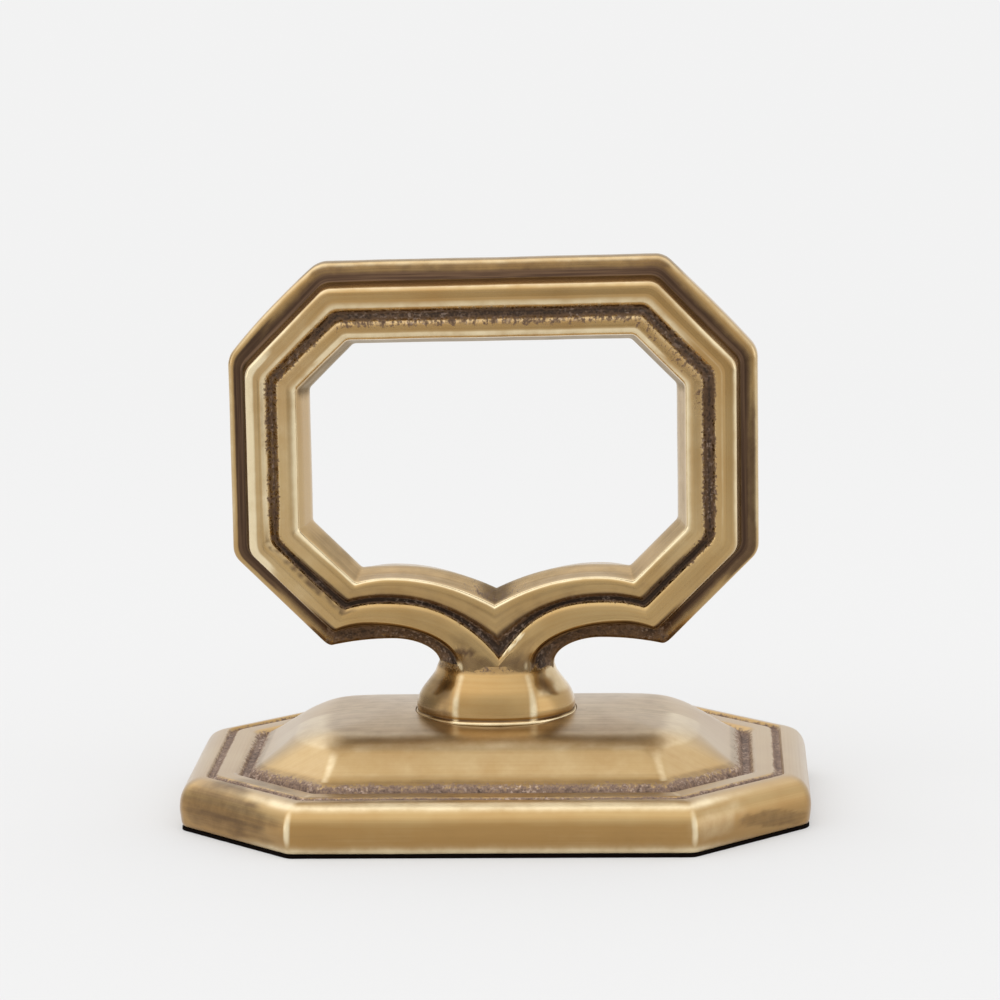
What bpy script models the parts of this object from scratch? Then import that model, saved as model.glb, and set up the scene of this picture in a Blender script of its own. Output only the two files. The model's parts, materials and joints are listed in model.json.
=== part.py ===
"""Place card napkin ring: an octagonal brass ring on a domed eight-sided base.

The ring, its neck and its foot are one casting. It seats in a shallow socket on
the base casting and is held by one screw and a washer from below. A thin felt pad
covers the hollow underside. Units are metres, +Z is up, the front faces -Y and the
origin is under the middle of the felt pad.
"""

import math

import bmesh
import bpy

MM = 0.001
FIT_GAP = 0.3 * MM

# Base casting and pad
BASE_HALF_WIDTH = 35.0 * MM
BASE_HALF_DEPTH = 25.6 * MM
BASE_CORNER_CUT = 12.7 * MM
PAD_THICKNESS = 0.5 * MM
PAD_INSET = 0.5 * MM
BASE_BOTTOM = PAD_THICKNESS + FIT_GAP
BAND_ROUNDING = 0.9 * MM
DOME_INSET = 7.9 * MM
DOME_FOOT = 5.8 * MM
DOME_TOP = 11.2 * MM
DOME_POWER = 2.3
DOME_RISES = (0.0, 0.06, 0.14, 0.24, 0.36, 0.5, 0.65, 0.8)
DOME_FOOT_ROUNDING = 1.0 * MM
DOME_ROUNDING_GROWTH = 12.0 * MM
DOME_CUT_RATE = 0.75
DOME_LEAST_CUT = 1.8 * MM
POCKET_RIM_INSET = 6.0 * MM
POCKET_ROOF_INSET = 12.5 * MM
POCKET_ROOF = 5.5 * MM
POCKET_ROUNDING = 2.0 * MM

# Border of the base, in millimetres: (distance in from the outline, height)
BAND_PROFILE = [(0.45, 0.8), (0.15, 1.6), (0.0, 2.6), (0.1, 3.6), (0.4, 4.5), (0.95, 5.2),
                (1.8, 5.6), (3.0, 5.7)]
GROOVE_PROFILE = [(3.35, 5.15), (3.95, 5.15), (4.3, 5.75), (4.7, 5.9), (6.3, 5.9), (6.7, 5.65),
                  (7.1, 5.05), (7.6, 5.05)]

# Ring opening, measured where it is narrowest, at mid depth
HOLE_HALF_WIDTH = 20.5 * MM
HOLE_TOP = 52.7 * MM
HOLE_CORNER_CUT = 5.0 * MM
TOP_SPREAD = 1.03
HOLE_LOWER_SUM = 12.0 * MM
HOLE_BOTTOM_CORNER = 27.1 * MM
HOLE_ARC_PEAK_X = 11.2 * MM
HOLE_ARC_PEAK = 27.3 * MM
HOLE_CUSP = 24.35 * MM
HOLE_ROUNDING = 0.8 * MM

# How the outline changes for each unit of distance out from the opening
BOTTOM_CORNER_DROP = 0.98
ARC_PEAK_SPREAD = 0.42
ARC_PEAK_DROP = 0.945
CUSP_DROP = 1.43
ROUNDING_GROWTH = 0.18

# Reeded moulding, in millimetres: (distance out from the opening, distance forward of mid depth)
INNER_REEDS = [(0.0, 0.0), (0.3, 2.4), (0.95, 4.0), (1.25, 4.5), (1.9, 4.75), (2.6, 4.6),
               (2.95, 4.2), (3.15, 3.6), (3.95, 3.6), (4.2, 4.5), (4.5, 5.0), (5.1, 5.2)]
OUTER_REEDS = [(6.15, 5.2), (6.42, 4.95), (6.6, 2.4), (7.2, 1.9), (8.4, 1.5), (8.8, 1.1)]
RIM_OFFSET = 8.8 * MM
CREST_OFFSET = 6.42 * MM

# Neck between the ring and the foot, where the moulding runs down to the foot
NECK_BOTTOM = 15.0 * MM
CREST_PEAK = (14.1 * MM, 21.55 * MM)
CREST_NECK = (3.75 * MM, 16.7 * MM)
RIM_PEAK = (11.7 * MM, 19.05 * MM)
RIM_NECK = (6.4 * MM, 16.2 * MM)
NECK_CREST_FORWARD = 4.95 * MM
NECK_RIM_FORWARD = 1.3 * MM
NECK_FILL_POWER = 2.0

# Foot sections, in millimetres: height, half width, half depth, half of the front facet, half
# of the side facet
FOOT_SECTIONS = [(10.5, 8.75, 6.55, 4.65, 2.4), (11.0, 9.0, 6.8, 4.75, 2.5),
                 (12.0, 8.95, 6.9, 4.75, 2.45), (13.0, 8.45, 6.8, 4.7, 2.3),
                 (14.0, 7.7, 6.55, 4.55, 2.0), (15.0, 6.95, 6.1, 4.25, 1.7),
                 (15.8, 6.6, 5.65, 4.0, 1.5), (16.25, 6.5, 5.3, 3.85, 1.4)]
SOCKET_FLOOR = 10.2 * MM

# Fixing screw and washer, on the axis of the foot
SCREW_RADIUS = 2.0 * MM
SCREW_HEAD_RADIUS = 3.8 * MM
SCREW_HEAD_HEIGHT = 2.2 * MM
SCREW_TIP = 14.4 * MM
SCREW_EDGE = 0.5 * MM
BORE_TOP = 14.9 * MM
BORE_CONE = 0.6 * MM
SLOT_WIDTH = 1.1 * MM
SLOT_DEPTH = 1.1 * MM
WASHER_RADIUS = 4.6 * MM
WASHER_THICKNESS = 0.8 * MM
WASHER_TOP = POCKET_ROOF - FIT_GAP
HEAD_TOP = WASHER_TOP - WASHER_THICKNESS - FIT_GAP
HEAD_BOTTOM = HEAD_TOP - SCREW_HEAD_HEIGHT

# Fineness of the meshes
ARRIS_ANGLE = math.radians(32)
CORNER_REACH = 0.45
CORNER_STEPS = 3
ARC_STEPS = 9
ROUND_SIDES = 32
MITRE = math.tan(math.pi / 8)

BRASS = (0.56, 0.40, 0.17, 1.0)
STEEL = (0.45, 0.45, 0.44, 1.0)
FELT = (0.012, 0.011, 0.011, 1.0)


def clear_scene():
    """Remove every object of the open scene."""
    for old in list(bpy.data.objects):
        bpy.data.objects.remove(old, do_unlink=True)


def new_collection(name):
    """Return a new collection linked to the scene."""
    collection = bpy.data.collections.new(name)
    bpy.context.scene.collection.children.link(collection)
    return collection


def new_material(name, colour, metallic, roughness):
    """Return a Principled material."""
    material = bpy.data.materials.new(name)
    material.use_nodes = True
    shader = material.node_tree.nodes["Principled BSDF"]
    shader.inputs["Base Color"].default_value = colour
    shader.inputs["Metallic"].default_value = metallic
    shader.inputs["Roughness"].default_value = roughness
    return material


def add_object(name, mesh, collection, material=None):
    """Link a mesh as a named object, shaded smooth up to its arrises."""
    item = bpy.data.objects.new(name, mesh)
    collection.objects.link(item)
    if material:
        mesh.materials.append(material)
    mesh.shade_smooth()
    mesh.set_sharp_from_angle(angle=ARRIS_ANGLE)
    return item


def add_cutter(name, mesh, collection):
    """Link a mesh as a hidden cutting or joining body."""
    cutter = bpy.data.objects.new(name, mesh)
    collection.objects.link(cutter)
    cutter.hide_render = True
    cutter.display_type = "WIRE"
    return cutter


def boolean(target, other, operation):
    """Cut or join another body with an exact Boolean modifier."""
    modifier = target.modifiers.new(operation.title() + " " + other.name, "BOOLEAN")
    modifier.operation = operation
    modifier.object = other
    modifier.solver = "EXACT"


def loft(name, loops, ring=False):
    """Skin a list of point loops; the ends are capped, or joined to each other in a ring."""
    body = bmesh.new()
    rows = [[body.verts.new(point) for point in loop] for loop in loops]
    pairs = list(zip(rows, rows[1:]))
    if ring:
        pairs.append((rows[-1], rows[0]))
    count = len(rows[0])
    for lower, upper in pairs:
        for i in range(count):
            j = (i + 1) % count
            body.faces.new((lower[i], lower[j], upper[j], upper[i]))
    if not ring:
        body.faces.new(reversed(rows[0]))
        body.faces.new(rows[-1])
    bmesh.ops.recalc_face_normals(body, faces=body.faces)
    mesh = bpy.data.meshes.new(name)
    body.to_mesh(mesh)
    body.free()
    return mesh


def turned(name, profile):
    """Return a mesh turned about Z from (radius, height) points, top to bottom outside."""
    mesh = bpy.data.meshes.new(name + "_profile")
    points = [(radius, 0.0, height) for radius, height in profile]
    mesh.from_pydata(points, [(i, i + 1) for i in range(len(points) - 1)], [])
    source = bpy.data.objects.new(name + "_profile", mesh)
    bpy.context.scene.collection.objects.link(source)
    screw = source.modifiers.new("Turn", "SCREW")
    screw.steps = ROUND_SIDES
    screw.render_steps = ROUND_SIDES
    screw.use_merge_vertices = True
    screw.merge_threshold = 0.00001
    graph = bpy.context.evaluated_depsgraph_get()
    result = bpy.data.meshes.new_from_object(source.evaluated_get(graph))
    result.name = name
    bpy.data.objects.remove(source, do_unlink=True)
    return result


def rounded_corner(before, corner, after, radius, steps):
    """Return the points of an arc that rounds one corner of a flat outline."""
    to_before = (before[0] - corner[0], before[1] - corner[1])
    to_after = (after[0] - corner[0], after[1] - corner[1])
    length_before = math.hypot(*to_before)
    length_after = math.hypot(*to_after)
    reach = min(radius * MITRE, CORNER_REACH * length_before, CORNER_REACH * length_after)
    start = [corner[k] + to_before[k] * reach / length_before for k in (0, 1)]
    end = [corner[k] + to_after[k] * reach / length_after for k in (0, 1)]
    points = []
    for step in range(steps):
        t = step / (steps - 1)
        weights = ((1 - t) ** 2, 2 * t * (1 - t), t ** 2)
        points.append(tuple(weights[0] * start[k] + weights[1] * corner[k] + weights[2] * end[k]
                            for k in (0, 1)))
    return points


def octagon(half_width, half_depth, cut):
    """Return the corners of an eight-sided outline, anticlockwise from the front right."""
    w, d = half_width, half_depth
    return [(w - cut, -d), (w, cut - d), (w, d - cut), (w - cut, d),
            (cut - w, d), (-w, d - cut), (-w, cut - d), (cut - w, -d)]


def base_outline(inset, rounding, cut_rate=2 - math.sqrt(2), start_inset=0.0):
    """Return the base's outline drawn in by an inset, with points along its long sides."""
    parallel_cut = BASE_CORNER_CUT - start_inset * (2 - math.sqrt(2))
    cut = max(parallel_cut - (inset - start_inset) * cut_rate, DOME_LEAST_CUT)
    corners = octagon(BASE_HALF_WIDTH - inset, BASE_HALF_DEPTH - inset, cut)
    outline = []
    for i, corner in enumerate(corners):
        before = corners[i - 1]
        after = corners[(i + 1) % 8]
        arc = rounded_corner(before, corner, after, rounding, CORNER_STEPS)
        outline.extend(arc)
        following = rounded_corner(corner, after, corners[(i + 2) % 8], rounding, CORNER_STEPS)
        between = 2 if i % 2 == 0 else 4
        for step in range(1, between):
            t = step / between
            outline.append(tuple(arc[-1][k] + (following[0][k] - arc[-1][k]) * t for k in (0, 1)))
    return outline


def base_loop(inset, height, rounding=BAND_ROUNDING):
    """Return one level loop of the base's stepped border."""
    return [(x, y, height) for x, y in base_outline(inset, rounding)]


def dome_loop(rise):
    """Return one level loop of the dome, whose corners soften as it rises inward."""
    inset = (BASE_HALF_DEPTH - DOME_INSET) * rise
    height = DOME_TOP - (DOME_TOP - DOME_FOOT) * (1 - rise) ** DOME_POWER
    rounding = DOME_FOOT_ROUNDING + DOME_ROUNDING_GROWTH * rise
    outline = base_outline(DOME_INSET + inset, rounding, DOME_CUT_RATE, DOME_INSET)
    return [(x, y, height) for x, y in outline]


def make_base(collection, cutters, brass):
    """Build the base casting: stepped border, dome, foot socket, hollow underside, screw hole."""
    loops = [base_loop(inset * MM, height * MM) for inset, height in BAND_PROFILE + GROOVE_PROFILE]
    loops += [dome_loop(rise) for rise in DOME_RISES]
    base = add_object("base_casting", loft("base_casting", loops), collection, brass)
    pocket = loft("underside_pocket", [base_loop(POCKET_RIM_INSET, -BASE_BOTTOM, POCKET_ROUNDING),
                                       base_loop(POCKET_RIM_INSET, BASE_BOTTOM, POCKET_ROUNDING),
                                       base_loop(POCKET_ROOF_INSET, POCKET_ROOF, POCKET_ROUNDING)])
    boolean(base, add_cutter("underside_pocket", pocket, cutters), "DIFFERENCE")
    socket = loft("foot_socket", [foot_loop(FOOT_SECTIONS[1], SOCKET_FLOOR, FIT_GAP),
                                  foot_loop(FOOT_SECTIONS[1], DOME_TOP + FIT_GAP, FIT_GAP)])
    boolean(base, add_cutter("foot_socket", socket, cutters), "DIFFERENCE")
    hole = turned("clearance_hole", [(0, DOME_TOP), (SCREW_RADIUS + FIT_GAP, DOME_TOP),
                                     (SCREW_RADIUS + FIT_GAP, BASE_BOTTOM), (0, BASE_BOTTOM)])
    boolean(base, add_cutter("clearance_hole", hole, cutters), "DIFFERENCE")
    return base


def ring_corners(offset):
    """Return the right half's four corners of an outline set out from the opening."""
    width = HOLE_HALF_WIDTH + offset
    top = HOLE_TOP + TOP_SPREAD * offset
    slant = offset * MITRE
    bottom = HOLE_BOTTOM_CORNER - BOTTOM_CORNER_DROP * offset
    lower_side = HOLE_HALF_WIDTH + HOLE_LOWER_SUM - slant
    return [(HOLE_HALF_WIDTH - HOLE_CORNER_CUT + slant, top),
            (width, HOLE_TOP - HOLE_CORNER_CUT + slant),
            (width, lower_side),
            (bottom - HOLE_LOWER_SUM + offset * math.sqrt(2), bottom)]


def rise_to_peak(corner, peak, steps):
    """Return points from a lower corner up to the crest of the bottom arc."""
    points = []
    for step in range(1, steps + 1):
        t = 1 - step / steps
        points.append((peak[0] + (corner[0] - peak[0]) * t, peak[1] - (peak[1] - corner[1]) * t * t))
    return points


def cusp_path(offset, corner):
    """Return the bottom arc of an inner reed, from its corner to the cusp on the centre line."""
    peak = (HOLE_ARC_PEAK_X + ARC_PEAK_SPREAD * offset, HOLE_ARC_PEAK - ARC_PEAK_DROP * offset)
    cusp = HOLE_CUSP - CUSP_DROP * offset
    path = rise_to_peak(corner, peak, ARC_STEPS // 3)
    fall = 2 * ARC_STEPS - len(path)
    for step in range(1, fall + 1):
        t = step / fall
        path.append((peak[0] * (1 - t), peak[1] - (peak[1] - cusp) * t * t))
    return path


def flange_share(offset):
    """Return how far across the flange an offset lies: 0 at its crest, 1 at its rim."""
    return (offset - CREST_OFFSET) / (RIM_OFFSET - CREST_OFFSET)


def neck_path(offset, corner):
    """Return the bottom arc of an outer reed, from its corner down the side of the neck."""
    t = flange_share(offset)
    peak = [CREST_PEAK[k] + (RIM_PEAK[k] - CREST_PEAK[k]) * t for k in (0, 1)]
    neck = [CREST_NECK[k] + (RIM_NECK[k] - CREST_NECK[k]) * t for k in (0, 1)]
    path = rise_to_peak(corner, peak, ARC_STEPS // 3)
    turn = 2 * ARC_STEPS - len(path) - 2
    for step in range(1, turn + 1):
        angle = 0.5 * math.pi * step / turn
        path.append((peak[0] - (peak[0] - neck[0]) * math.sin(angle),
                     neck[1] + (peak[1] - neck[1]) * math.cos(angle)))
    path.append((neck[0], NECK_BOTTOM))
    path.append((0.0, NECK_BOTTOM))
    return path


def neck_depths(offset, forward, count):
    """Return how far forward the points of a bottom arc lie as the flange fills out to the neck."""
    filled = NECK_CREST_FORWARD + (NECK_RIM_FORWARD - NECK_CREST_FORWARD) * flange_share(offset)
    gain = max(filled - abs(forward), 0.0)
    depths = []
    for step in range(count):
        share = min(step / (count - 3), 1.0) ** NECK_FILL_POWER
        depths.append(math.copysign(abs(forward) + gain * share, forward))
    return depths


def ring_loop(offset, forward, path_of):
    """Return a whole outline of the ring at one place on its moulding."""
    corners = ring_corners(offset)
    path = path_of(offset, corners[-1])
    outline = [(0.0, corners[0][1])] + corners + path[:1]
    half = [outline[0]]
    rounding = HOLE_ROUNDING + ROUNDING_GROWTH * offset
    for i in range(1, len(outline) - 1):
        half += rounded_corner(outline[i - 1], outline[i], outline[i + 1], rounding, CORNER_STEPS)
    depths = [forward] * len(half)
    half += path
    depths += neck_depths(offset, forward, len(path)) if path_of is neck_path else [forward] * len(path)
    right = [(x, -depth, z) for (x, z), depth in zip(half, depths)]
    left = [(-x, y, z) for x, y, z in reversed(right[1:-1])]
    return right + left


def ring_moulding():
    """Return the loops of the moulding, front then back, in order round its section."""
    front = [(out, forward, cusp_path) for out, forward in INNER_REEDS]
    front += [(out, forward, neck_path) for out, forward in OUTER_REEDS]
    back = [(out, -forward, path_of) for out, forward, path_of in reversed(front[1:])]
    return [ring_loop(out * MM, forward * MM, path_of) for out, forward, path_of in front + back]


def foot_loop(section, height=None, clearance=0.0):
    """Return one level eight-sided loop of the foot."""
    own_height, half_width, half_depth, front, side = (value * MM for value in section)
    w, d = half_width + clearance, half_depth + clearance
    f, s = front + clearance * MITRE, side + clearance * MITRE
    z = own_height if height is None else height
    return [(x, y, z) for x, y in ((f, -d), (w, -s), (w, s), (f, d), (-f, d), (-w, s), (-w, -s), (-f, -d))]


def make_ring(collection, cutters, brass):
    """Build the ring casting: reeded ring and neck, flared foot, blind bore for the screw."""
    ring = add_object("ring_frame", loft("ring_frame", ring_moulding(), ring=True), collection, brass)
    foot = loft("foot", [foot_loop(section) for section in FOOT_SECTIONS])
    boolean(ring, add_cutter("foot", foot, cutters), "UNION")
    bore_radius = SCREW_RADIUS + FIT_GAP
    bore = turned("screw_bore", [(0, BORE_TOP), (bore_radius, BORE_TOP - BORE_CONE),
                                 (bore_radius, SOCKET_FLOOR), (0, SOCKET_FLOOR)])
    boolean(ring, add_cutter("screw_bore", bore, cutters), "DIFFERENCE")
    return ring


def make_screw(collection, cutters, steel):
    """Build the fixing screw: a slotted pan head below and a plain shank above."""
    profile = [(0, SCREW_TIP), (SCREW_RADIUS - SCREW_EDGE, SCREW_TIP),
               (SCREW_RADIUS, SCREW_TIP - SCREW_EDGE), (SCREW_RADIUS, HEAD_TOP),
               (SCREW_HEAD_RADIUS, HEAD_TOP), (SCREW_HEAD_RADIUS, HEAD_BOTTOM + 2 * SCREW_EDGE),
               (SCREW_HEAD_RADIUS - SCREW_EDGE, HEAD_BOTTOM + 0.5 * SCREW_EDGE),
               (SCREW_HEAD_RADIUS - 3 * SCREW_EDGE, HEAD_BOTTOM), (0, HEAD_BOTTOM)]
    screw = add_object("fixing_screw", turned("fixing_screw", profile), collection, steel)
    bpy.ops.mesh.primitive_cube_add(size=1.0, location=(0, 0, HEAD_BOTTOM))
    slot = bpy.context.active_object
    slot.name = "screw_slot"
    slot.scale = (4 * SCREW_HEAD_RADIUS, SLOT_WIDTH, 2 * SLOT_DEPTH)
    slot.hide_render = True
    slot.display_type = "WIRE"
    for owner in list(slot.users_collection):
        owner.objects.unlink(slot)
    cutters.objects.link(slot)
    boolean(screw, slot, "DIFFERENCE")
    return screw


def make_washer(collection, steel):
    """Build the flat washer between the screw's head and the roof of the pocket."""
    inner = SCREW_RADIUS + FIT_GAP
    lower = WASHER_TOP - WASHER_THICKNESS
    profile = [(inner, WASHER_TOP), (WASHER_RADIUS, WASHER_TOP), (WASHER_RADIUS, lower),
               (inner, lower), (inner, WASHER_TOP)]
    return add_object("flat_washer", turned("flat_washer", profile), collection, steel)


def make_pad(collection, felt):
    """Build the felt pad under the base."""
    outline = base_loop(PAD_INSET, 0.0)
    upper = [(x, y, PAD_THICKNESS) for x, y, _ in outline]
    return add_object("felt_pad", loft("felt_pad", [outline, upper]), collection, felt)


def main():
    """Build the whole object."""
    clear_scene()
    parts = new_collection("place_card_napkin_ring")
    cutters = new_collection("cutters")
    brass = new_material("satin_brass", BRASS, 1.0, 0.32)
    steel = new_material("plated_steel", STEEL, 1.0, 0.4)
    felt = new_material("black_felt", FELT, 0.0, 0.95)
    make_ring(parts, cutters, brass)
    make_base(parts, cutters, brass)
    make_screw(parts, cutters, steel)
    make_washer(parts, steel)
    make_pad(parts, felt)


main()
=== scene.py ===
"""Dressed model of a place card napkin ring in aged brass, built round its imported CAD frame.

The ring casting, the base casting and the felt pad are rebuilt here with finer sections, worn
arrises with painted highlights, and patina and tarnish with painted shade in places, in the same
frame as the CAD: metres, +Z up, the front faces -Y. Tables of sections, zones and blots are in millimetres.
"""

import json
import logging
import math
from dataclasses import dataclass
from enum import Enum
from functools import reduce
from typing import Sequence

import bpy
import numpy as np
from mathutils import Matrix, Vector, noise
from mathutils.kdtree import KDTree

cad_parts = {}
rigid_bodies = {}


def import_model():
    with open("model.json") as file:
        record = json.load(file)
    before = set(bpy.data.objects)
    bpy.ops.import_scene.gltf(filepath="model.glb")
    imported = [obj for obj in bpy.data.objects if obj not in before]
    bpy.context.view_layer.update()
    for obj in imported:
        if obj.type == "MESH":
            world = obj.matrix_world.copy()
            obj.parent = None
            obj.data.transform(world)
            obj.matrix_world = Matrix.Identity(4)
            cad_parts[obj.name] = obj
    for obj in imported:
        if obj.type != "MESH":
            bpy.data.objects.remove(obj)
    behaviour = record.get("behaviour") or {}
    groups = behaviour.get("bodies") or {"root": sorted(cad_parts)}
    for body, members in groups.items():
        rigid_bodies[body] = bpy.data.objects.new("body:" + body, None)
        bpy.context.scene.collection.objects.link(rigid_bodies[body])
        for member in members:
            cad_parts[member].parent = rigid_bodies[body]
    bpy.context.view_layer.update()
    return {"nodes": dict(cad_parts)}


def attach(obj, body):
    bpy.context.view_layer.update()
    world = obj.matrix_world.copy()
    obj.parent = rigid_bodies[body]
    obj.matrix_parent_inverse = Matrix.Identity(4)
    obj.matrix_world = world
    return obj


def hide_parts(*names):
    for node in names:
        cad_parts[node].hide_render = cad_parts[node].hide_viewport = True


for leftover in list(bpy.data.objects):
    bpy.data.objects.remove(leftover, do_unlink=True)
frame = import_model()

LOG = logging.getLogger("napkin_ring")
MM = 0.001
MITRE = math.tan(math.pi / 8)
SLANT_LOSS = 2.0 - math.sqrt(2.0)
FAR = 1000.0
TINY = 1e-9
LONGEST_ARC_SHARE = 0.48
SECTION_ARC_STEPS = 5
CORNERS_AT_SIDE = (False, True, True, False) * 2
ROOT_BODY = "root"

Colour = tuple[float, float, float, float]
Pair = tuple[float, float]
Triple = tuple[float, float, float]
Loop = list[Triple]
Station = tuple[float, ...]
Span = tuple[float, float, float, float]
Height = tuple[float, Span]
Row = tuple[Station, Loop, list[float]]

EVERYWHERE: Span = (-2.0 * FAR, -FAR, FAR, 2.0 * FAR)


class Trait(Enum):
    """Values that each brass vertex carries for its material; the worn-metal value also carries painted
    highlights, and the tarnish value painted shade.
    """

    PATINA = "patina"
    # worn metal, and painted highlights too
    WEAR_AND_HIGHLIGHT = "wear_and_highlight"
    # tarnish, and painted shade too
    STAIN_AND_SHADE = "stain_and_shade"
    TINT = "tint"
    ACROSS = "across"
    ALONG = "along"


class Slot(Enum):
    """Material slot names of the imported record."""

    BRASS = "aged_brass"
    FELT = "black_felt"


# Small geometry helpers


def mix(a: Sequence[float], b: Sequence[float], share: float) -> tuple[float, ...]:
    """Return the point a share of the way from a to b."""
    return tuple(p + (q - p) * share for p, q in zip(a, b))


def smooth(low: float, high: float, value: float) -> float:
    """Return a soft step from 0 at low to 1 at high."""
    t = min(max((value - low) / (high - low), 0.0), 1.0)
    return t * t * (3.0 - 2.0 * t)


def rising(low: float, high: float) -> Span:
    """Return a window that opens from low to high and stays open."""
    return (low, high, FAR, 2.0 * FAR)


def falling(low: float, high: float) -> Span:
    """Return a window that is open up to low and shut from high on."""
    return (-2.0 * FAR, -FAR, low, high)


def window(span: Span, value: float) -> float:
    """Return how far a window is open.

    Args:
        span: the window, which opens over its first two values and shuts over the last two.
        value: the place.

    Returns:
        1 inside the window and 0 outside, with soft edges.
    """
    if span is EVERYWHERE:
        return 1.0
    return smooth(span[0], span[1], value) * smooth(span[3], span[2], value)


def tallest(heights: Sequence[Height], value: float) -> float:
    """Return the greatest of several windows at a value, each with its own height."""
    return max(height * window(span, value) for height, span in heights)


def rounded_corner(before: Station, corner: Station, after: Station, reach: float,
                   steps: int) -> list[Station]:
    """Round one corner of a path with an arc.

    Args:
        before: the station before the corner; its first two values are the place.
        corner: the corner itself.
        after: the station after it.
        reach: how far from the corner the arc starts and ends.
        steps: how many stations the arc has.

    Returns:
        The stations of the arc, every value carried along.
    """
    gaps = [max(math.dist(end[:2], corner[:2]), TINY) for end in (before, after)]
    near, far = (min(reach / gap, LONGEST_ARC_SHARE) for gap in gaps)
    start, end = mix(corner, before, near), mix(corner, after, far)
    shares = [step / (steps - 1) for step in range(steps)]
    return [mix(mix(start, corner, t), mix(corner, end, t), t) for t in shares]


def divided(stations: Sequence[Station], longest: float) -> list[Station]:
    """Divide the long gaps between stations evenly.

    Args:
        stations: the stations; their first two values are the place.
        longest: longest gap that stays whole.

    Returns:
        The stations with the new ones among them.
    """
    result = [stations[0]]
    for following in stations[1:]:
        here = result[-1]
        count = max(1, math.ceil(math.dist(here[:2], following[:2]) / longest))
        result.extend(mix(here, following, step / count) for step in range(1, count + 1))
    return result


def rounded_section(controls: Sequence[Station], longest: float) -> list[Station]:
    """Round a section's inner corners and divide its long gaps.

    Args:
        controls: the section's stations; the third value is the reach of the rounding.
        longest: longest gap that stays whole.

    Returns:
        The stations of the finished section.
    """
    stations = [controls[0]]
    for before, corner, after in zip(controls, controls[1:], controls[2:]):
        stations.extend(rounded_corner(before, corner, after, corner[2], SECTION_ARC_STEPS))
    return divided(stations + [controls[-1]], longest)


def octagon(w: float, d: float, f: float, s: float) -> list[Pair]:
    """Return an octagon's corners from half its width, depth, front facet and side facet."""
    return [(f, -d), (w, -s), (w, s), (f, d), (-f, d), (-w, s), (-w, -s), (-f, -d)]


def rounded_octagon(corners: Sequence[Pair], reaches: Pair, ridges: Pair, arc_steps: int,
                    flat_steps: tuple[int, int]) -> tuple[list[Pair], list[float]]:
    """Round an octagon's corners and divide its flats.

    Args:
        corners: its corners, from the front right one round.
        reaches: reach of the rounding at the front and back, and at the sides.
        ridges: height of the ridge value there.
        arc_steps: points of each arc.
        flat_steps: divisions of the flats, in turn.

    Returns:
        The points and, for each, the ridge value: full in the middle of an arc, 0 on a flat.
    """
    count = len(corners)
    arcs = []
    for i, corner in enumerate(corners):
        reach = reaches[CORNERS_AT_SIDE[i]]
        arcs.append(rounded_corner(corners[i - 1], corner, corners[(i + 1) % count], reach, arc_steps))
    crest = [math.sin(math.pi * step / (arc_steps - 1)) for step in range(arc_steps)]
    points: list[Pair] = []
    ridge: list[float] = []
    for i, arc in enumerate(arcs):
        flat = between(arc[-1], arcs[(i + 1) % count][0], flat_steps[i % 2])
        points += arc + flat
        ridge += [ridges[CORNERS_AT_SIDE[i]] * value for value in crest] + [0.0] * len(flat)
    return points, ridge


def piecewise(table: Sequence[Pair], place: float) -> float:
    """Return the value at a place on the straight lines through a table's pairs."""
    return float(np.interp(place, [pair[0] for pair in table], [pair[1] for pair in table]))


def between(start: Pair, end: Pair, count: int) -> list[Pair]:
    """Return evenly spaced points strictly between two points."""
    return [mix(start, end, step / count) for step in range(1, count)]


def mirrored(half: Loop) -> Loop:
    """Return the whole loop of a right half that starts and ends on the centre line."""
    return half + [(-x, y, z) for x, y, z in reversed(half[1:-1])]


def run_lengths(path: Sequence[Sequence[float]]) -> list[float]:
    """Return the length run at each point of a path."""
    gaps = [math.dist(here, following) for here, following in zip(path, path[1:])]
    return [sum(gaps[:index]) for index in range(len(path))]


def mirrored_run(loop: Sequence[Triple]) -> list[float]:
    """Measure along a closed loop, alike on both sides.

    Args:
        loop: its points.

    Returns:
        The length run at each point, rising to half of the whole and falling again.
    """
    lengths = run_lengths(list(loop) + [loop[0]])
    half = 0.5 * lengths[-1]
    return [half - abs(length - half) for length in lengths[:-1]]


def ripple(place: Triple, wave: float, seed: float) -> float:
    """Return smooth noise from about -1 to 1 at a place, with waves of a given length."""
    shifted = Vector(place) / wave + Vector((seed, -seed, 2.0 * seed))
    return noise.noise(shifted, noise_basis="PERLIN_NEW")


# Zones and blots: where a trait is strong


@dataclass(frozen=True)
class Zone:
    """A zone of a casting with soft edges, in millimetres.

    Attributes:
        strength: value inside the zone.
        offset: window of the distance out along the section.
        x, y, z: windows of the place.
        beside: window of the distance from the centre line, on either side.
    """

    strength: float = 1.0
    offset: Span = EVERYWHERE
    x: Span = EVERYWHERE
    y: Span = EVERYWHERE
    z: Span = EVERYWHERE
    beside: Span = EVERYWHERE

    def at(self, point: Triple, offset: float = 0.0) -> float:
        """Return the zone's value.

        Args:
            point: the place, in metres.
            offset: distance out along the section, in millimetres.

        Returns:
            The strength inside the zone, falling to 0 over its edges.
        """
        value = self.strength * window(self.offset, offset)
        if value == 0.0:
            return 0.0
        x, y, z = point[0] / MM, point[1] / MM, point[2] / MM
        return (value * window(self.x, x) * window(self.y, y) * window(self.z, z)
                * window(self.beside, abs(x)))


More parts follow.
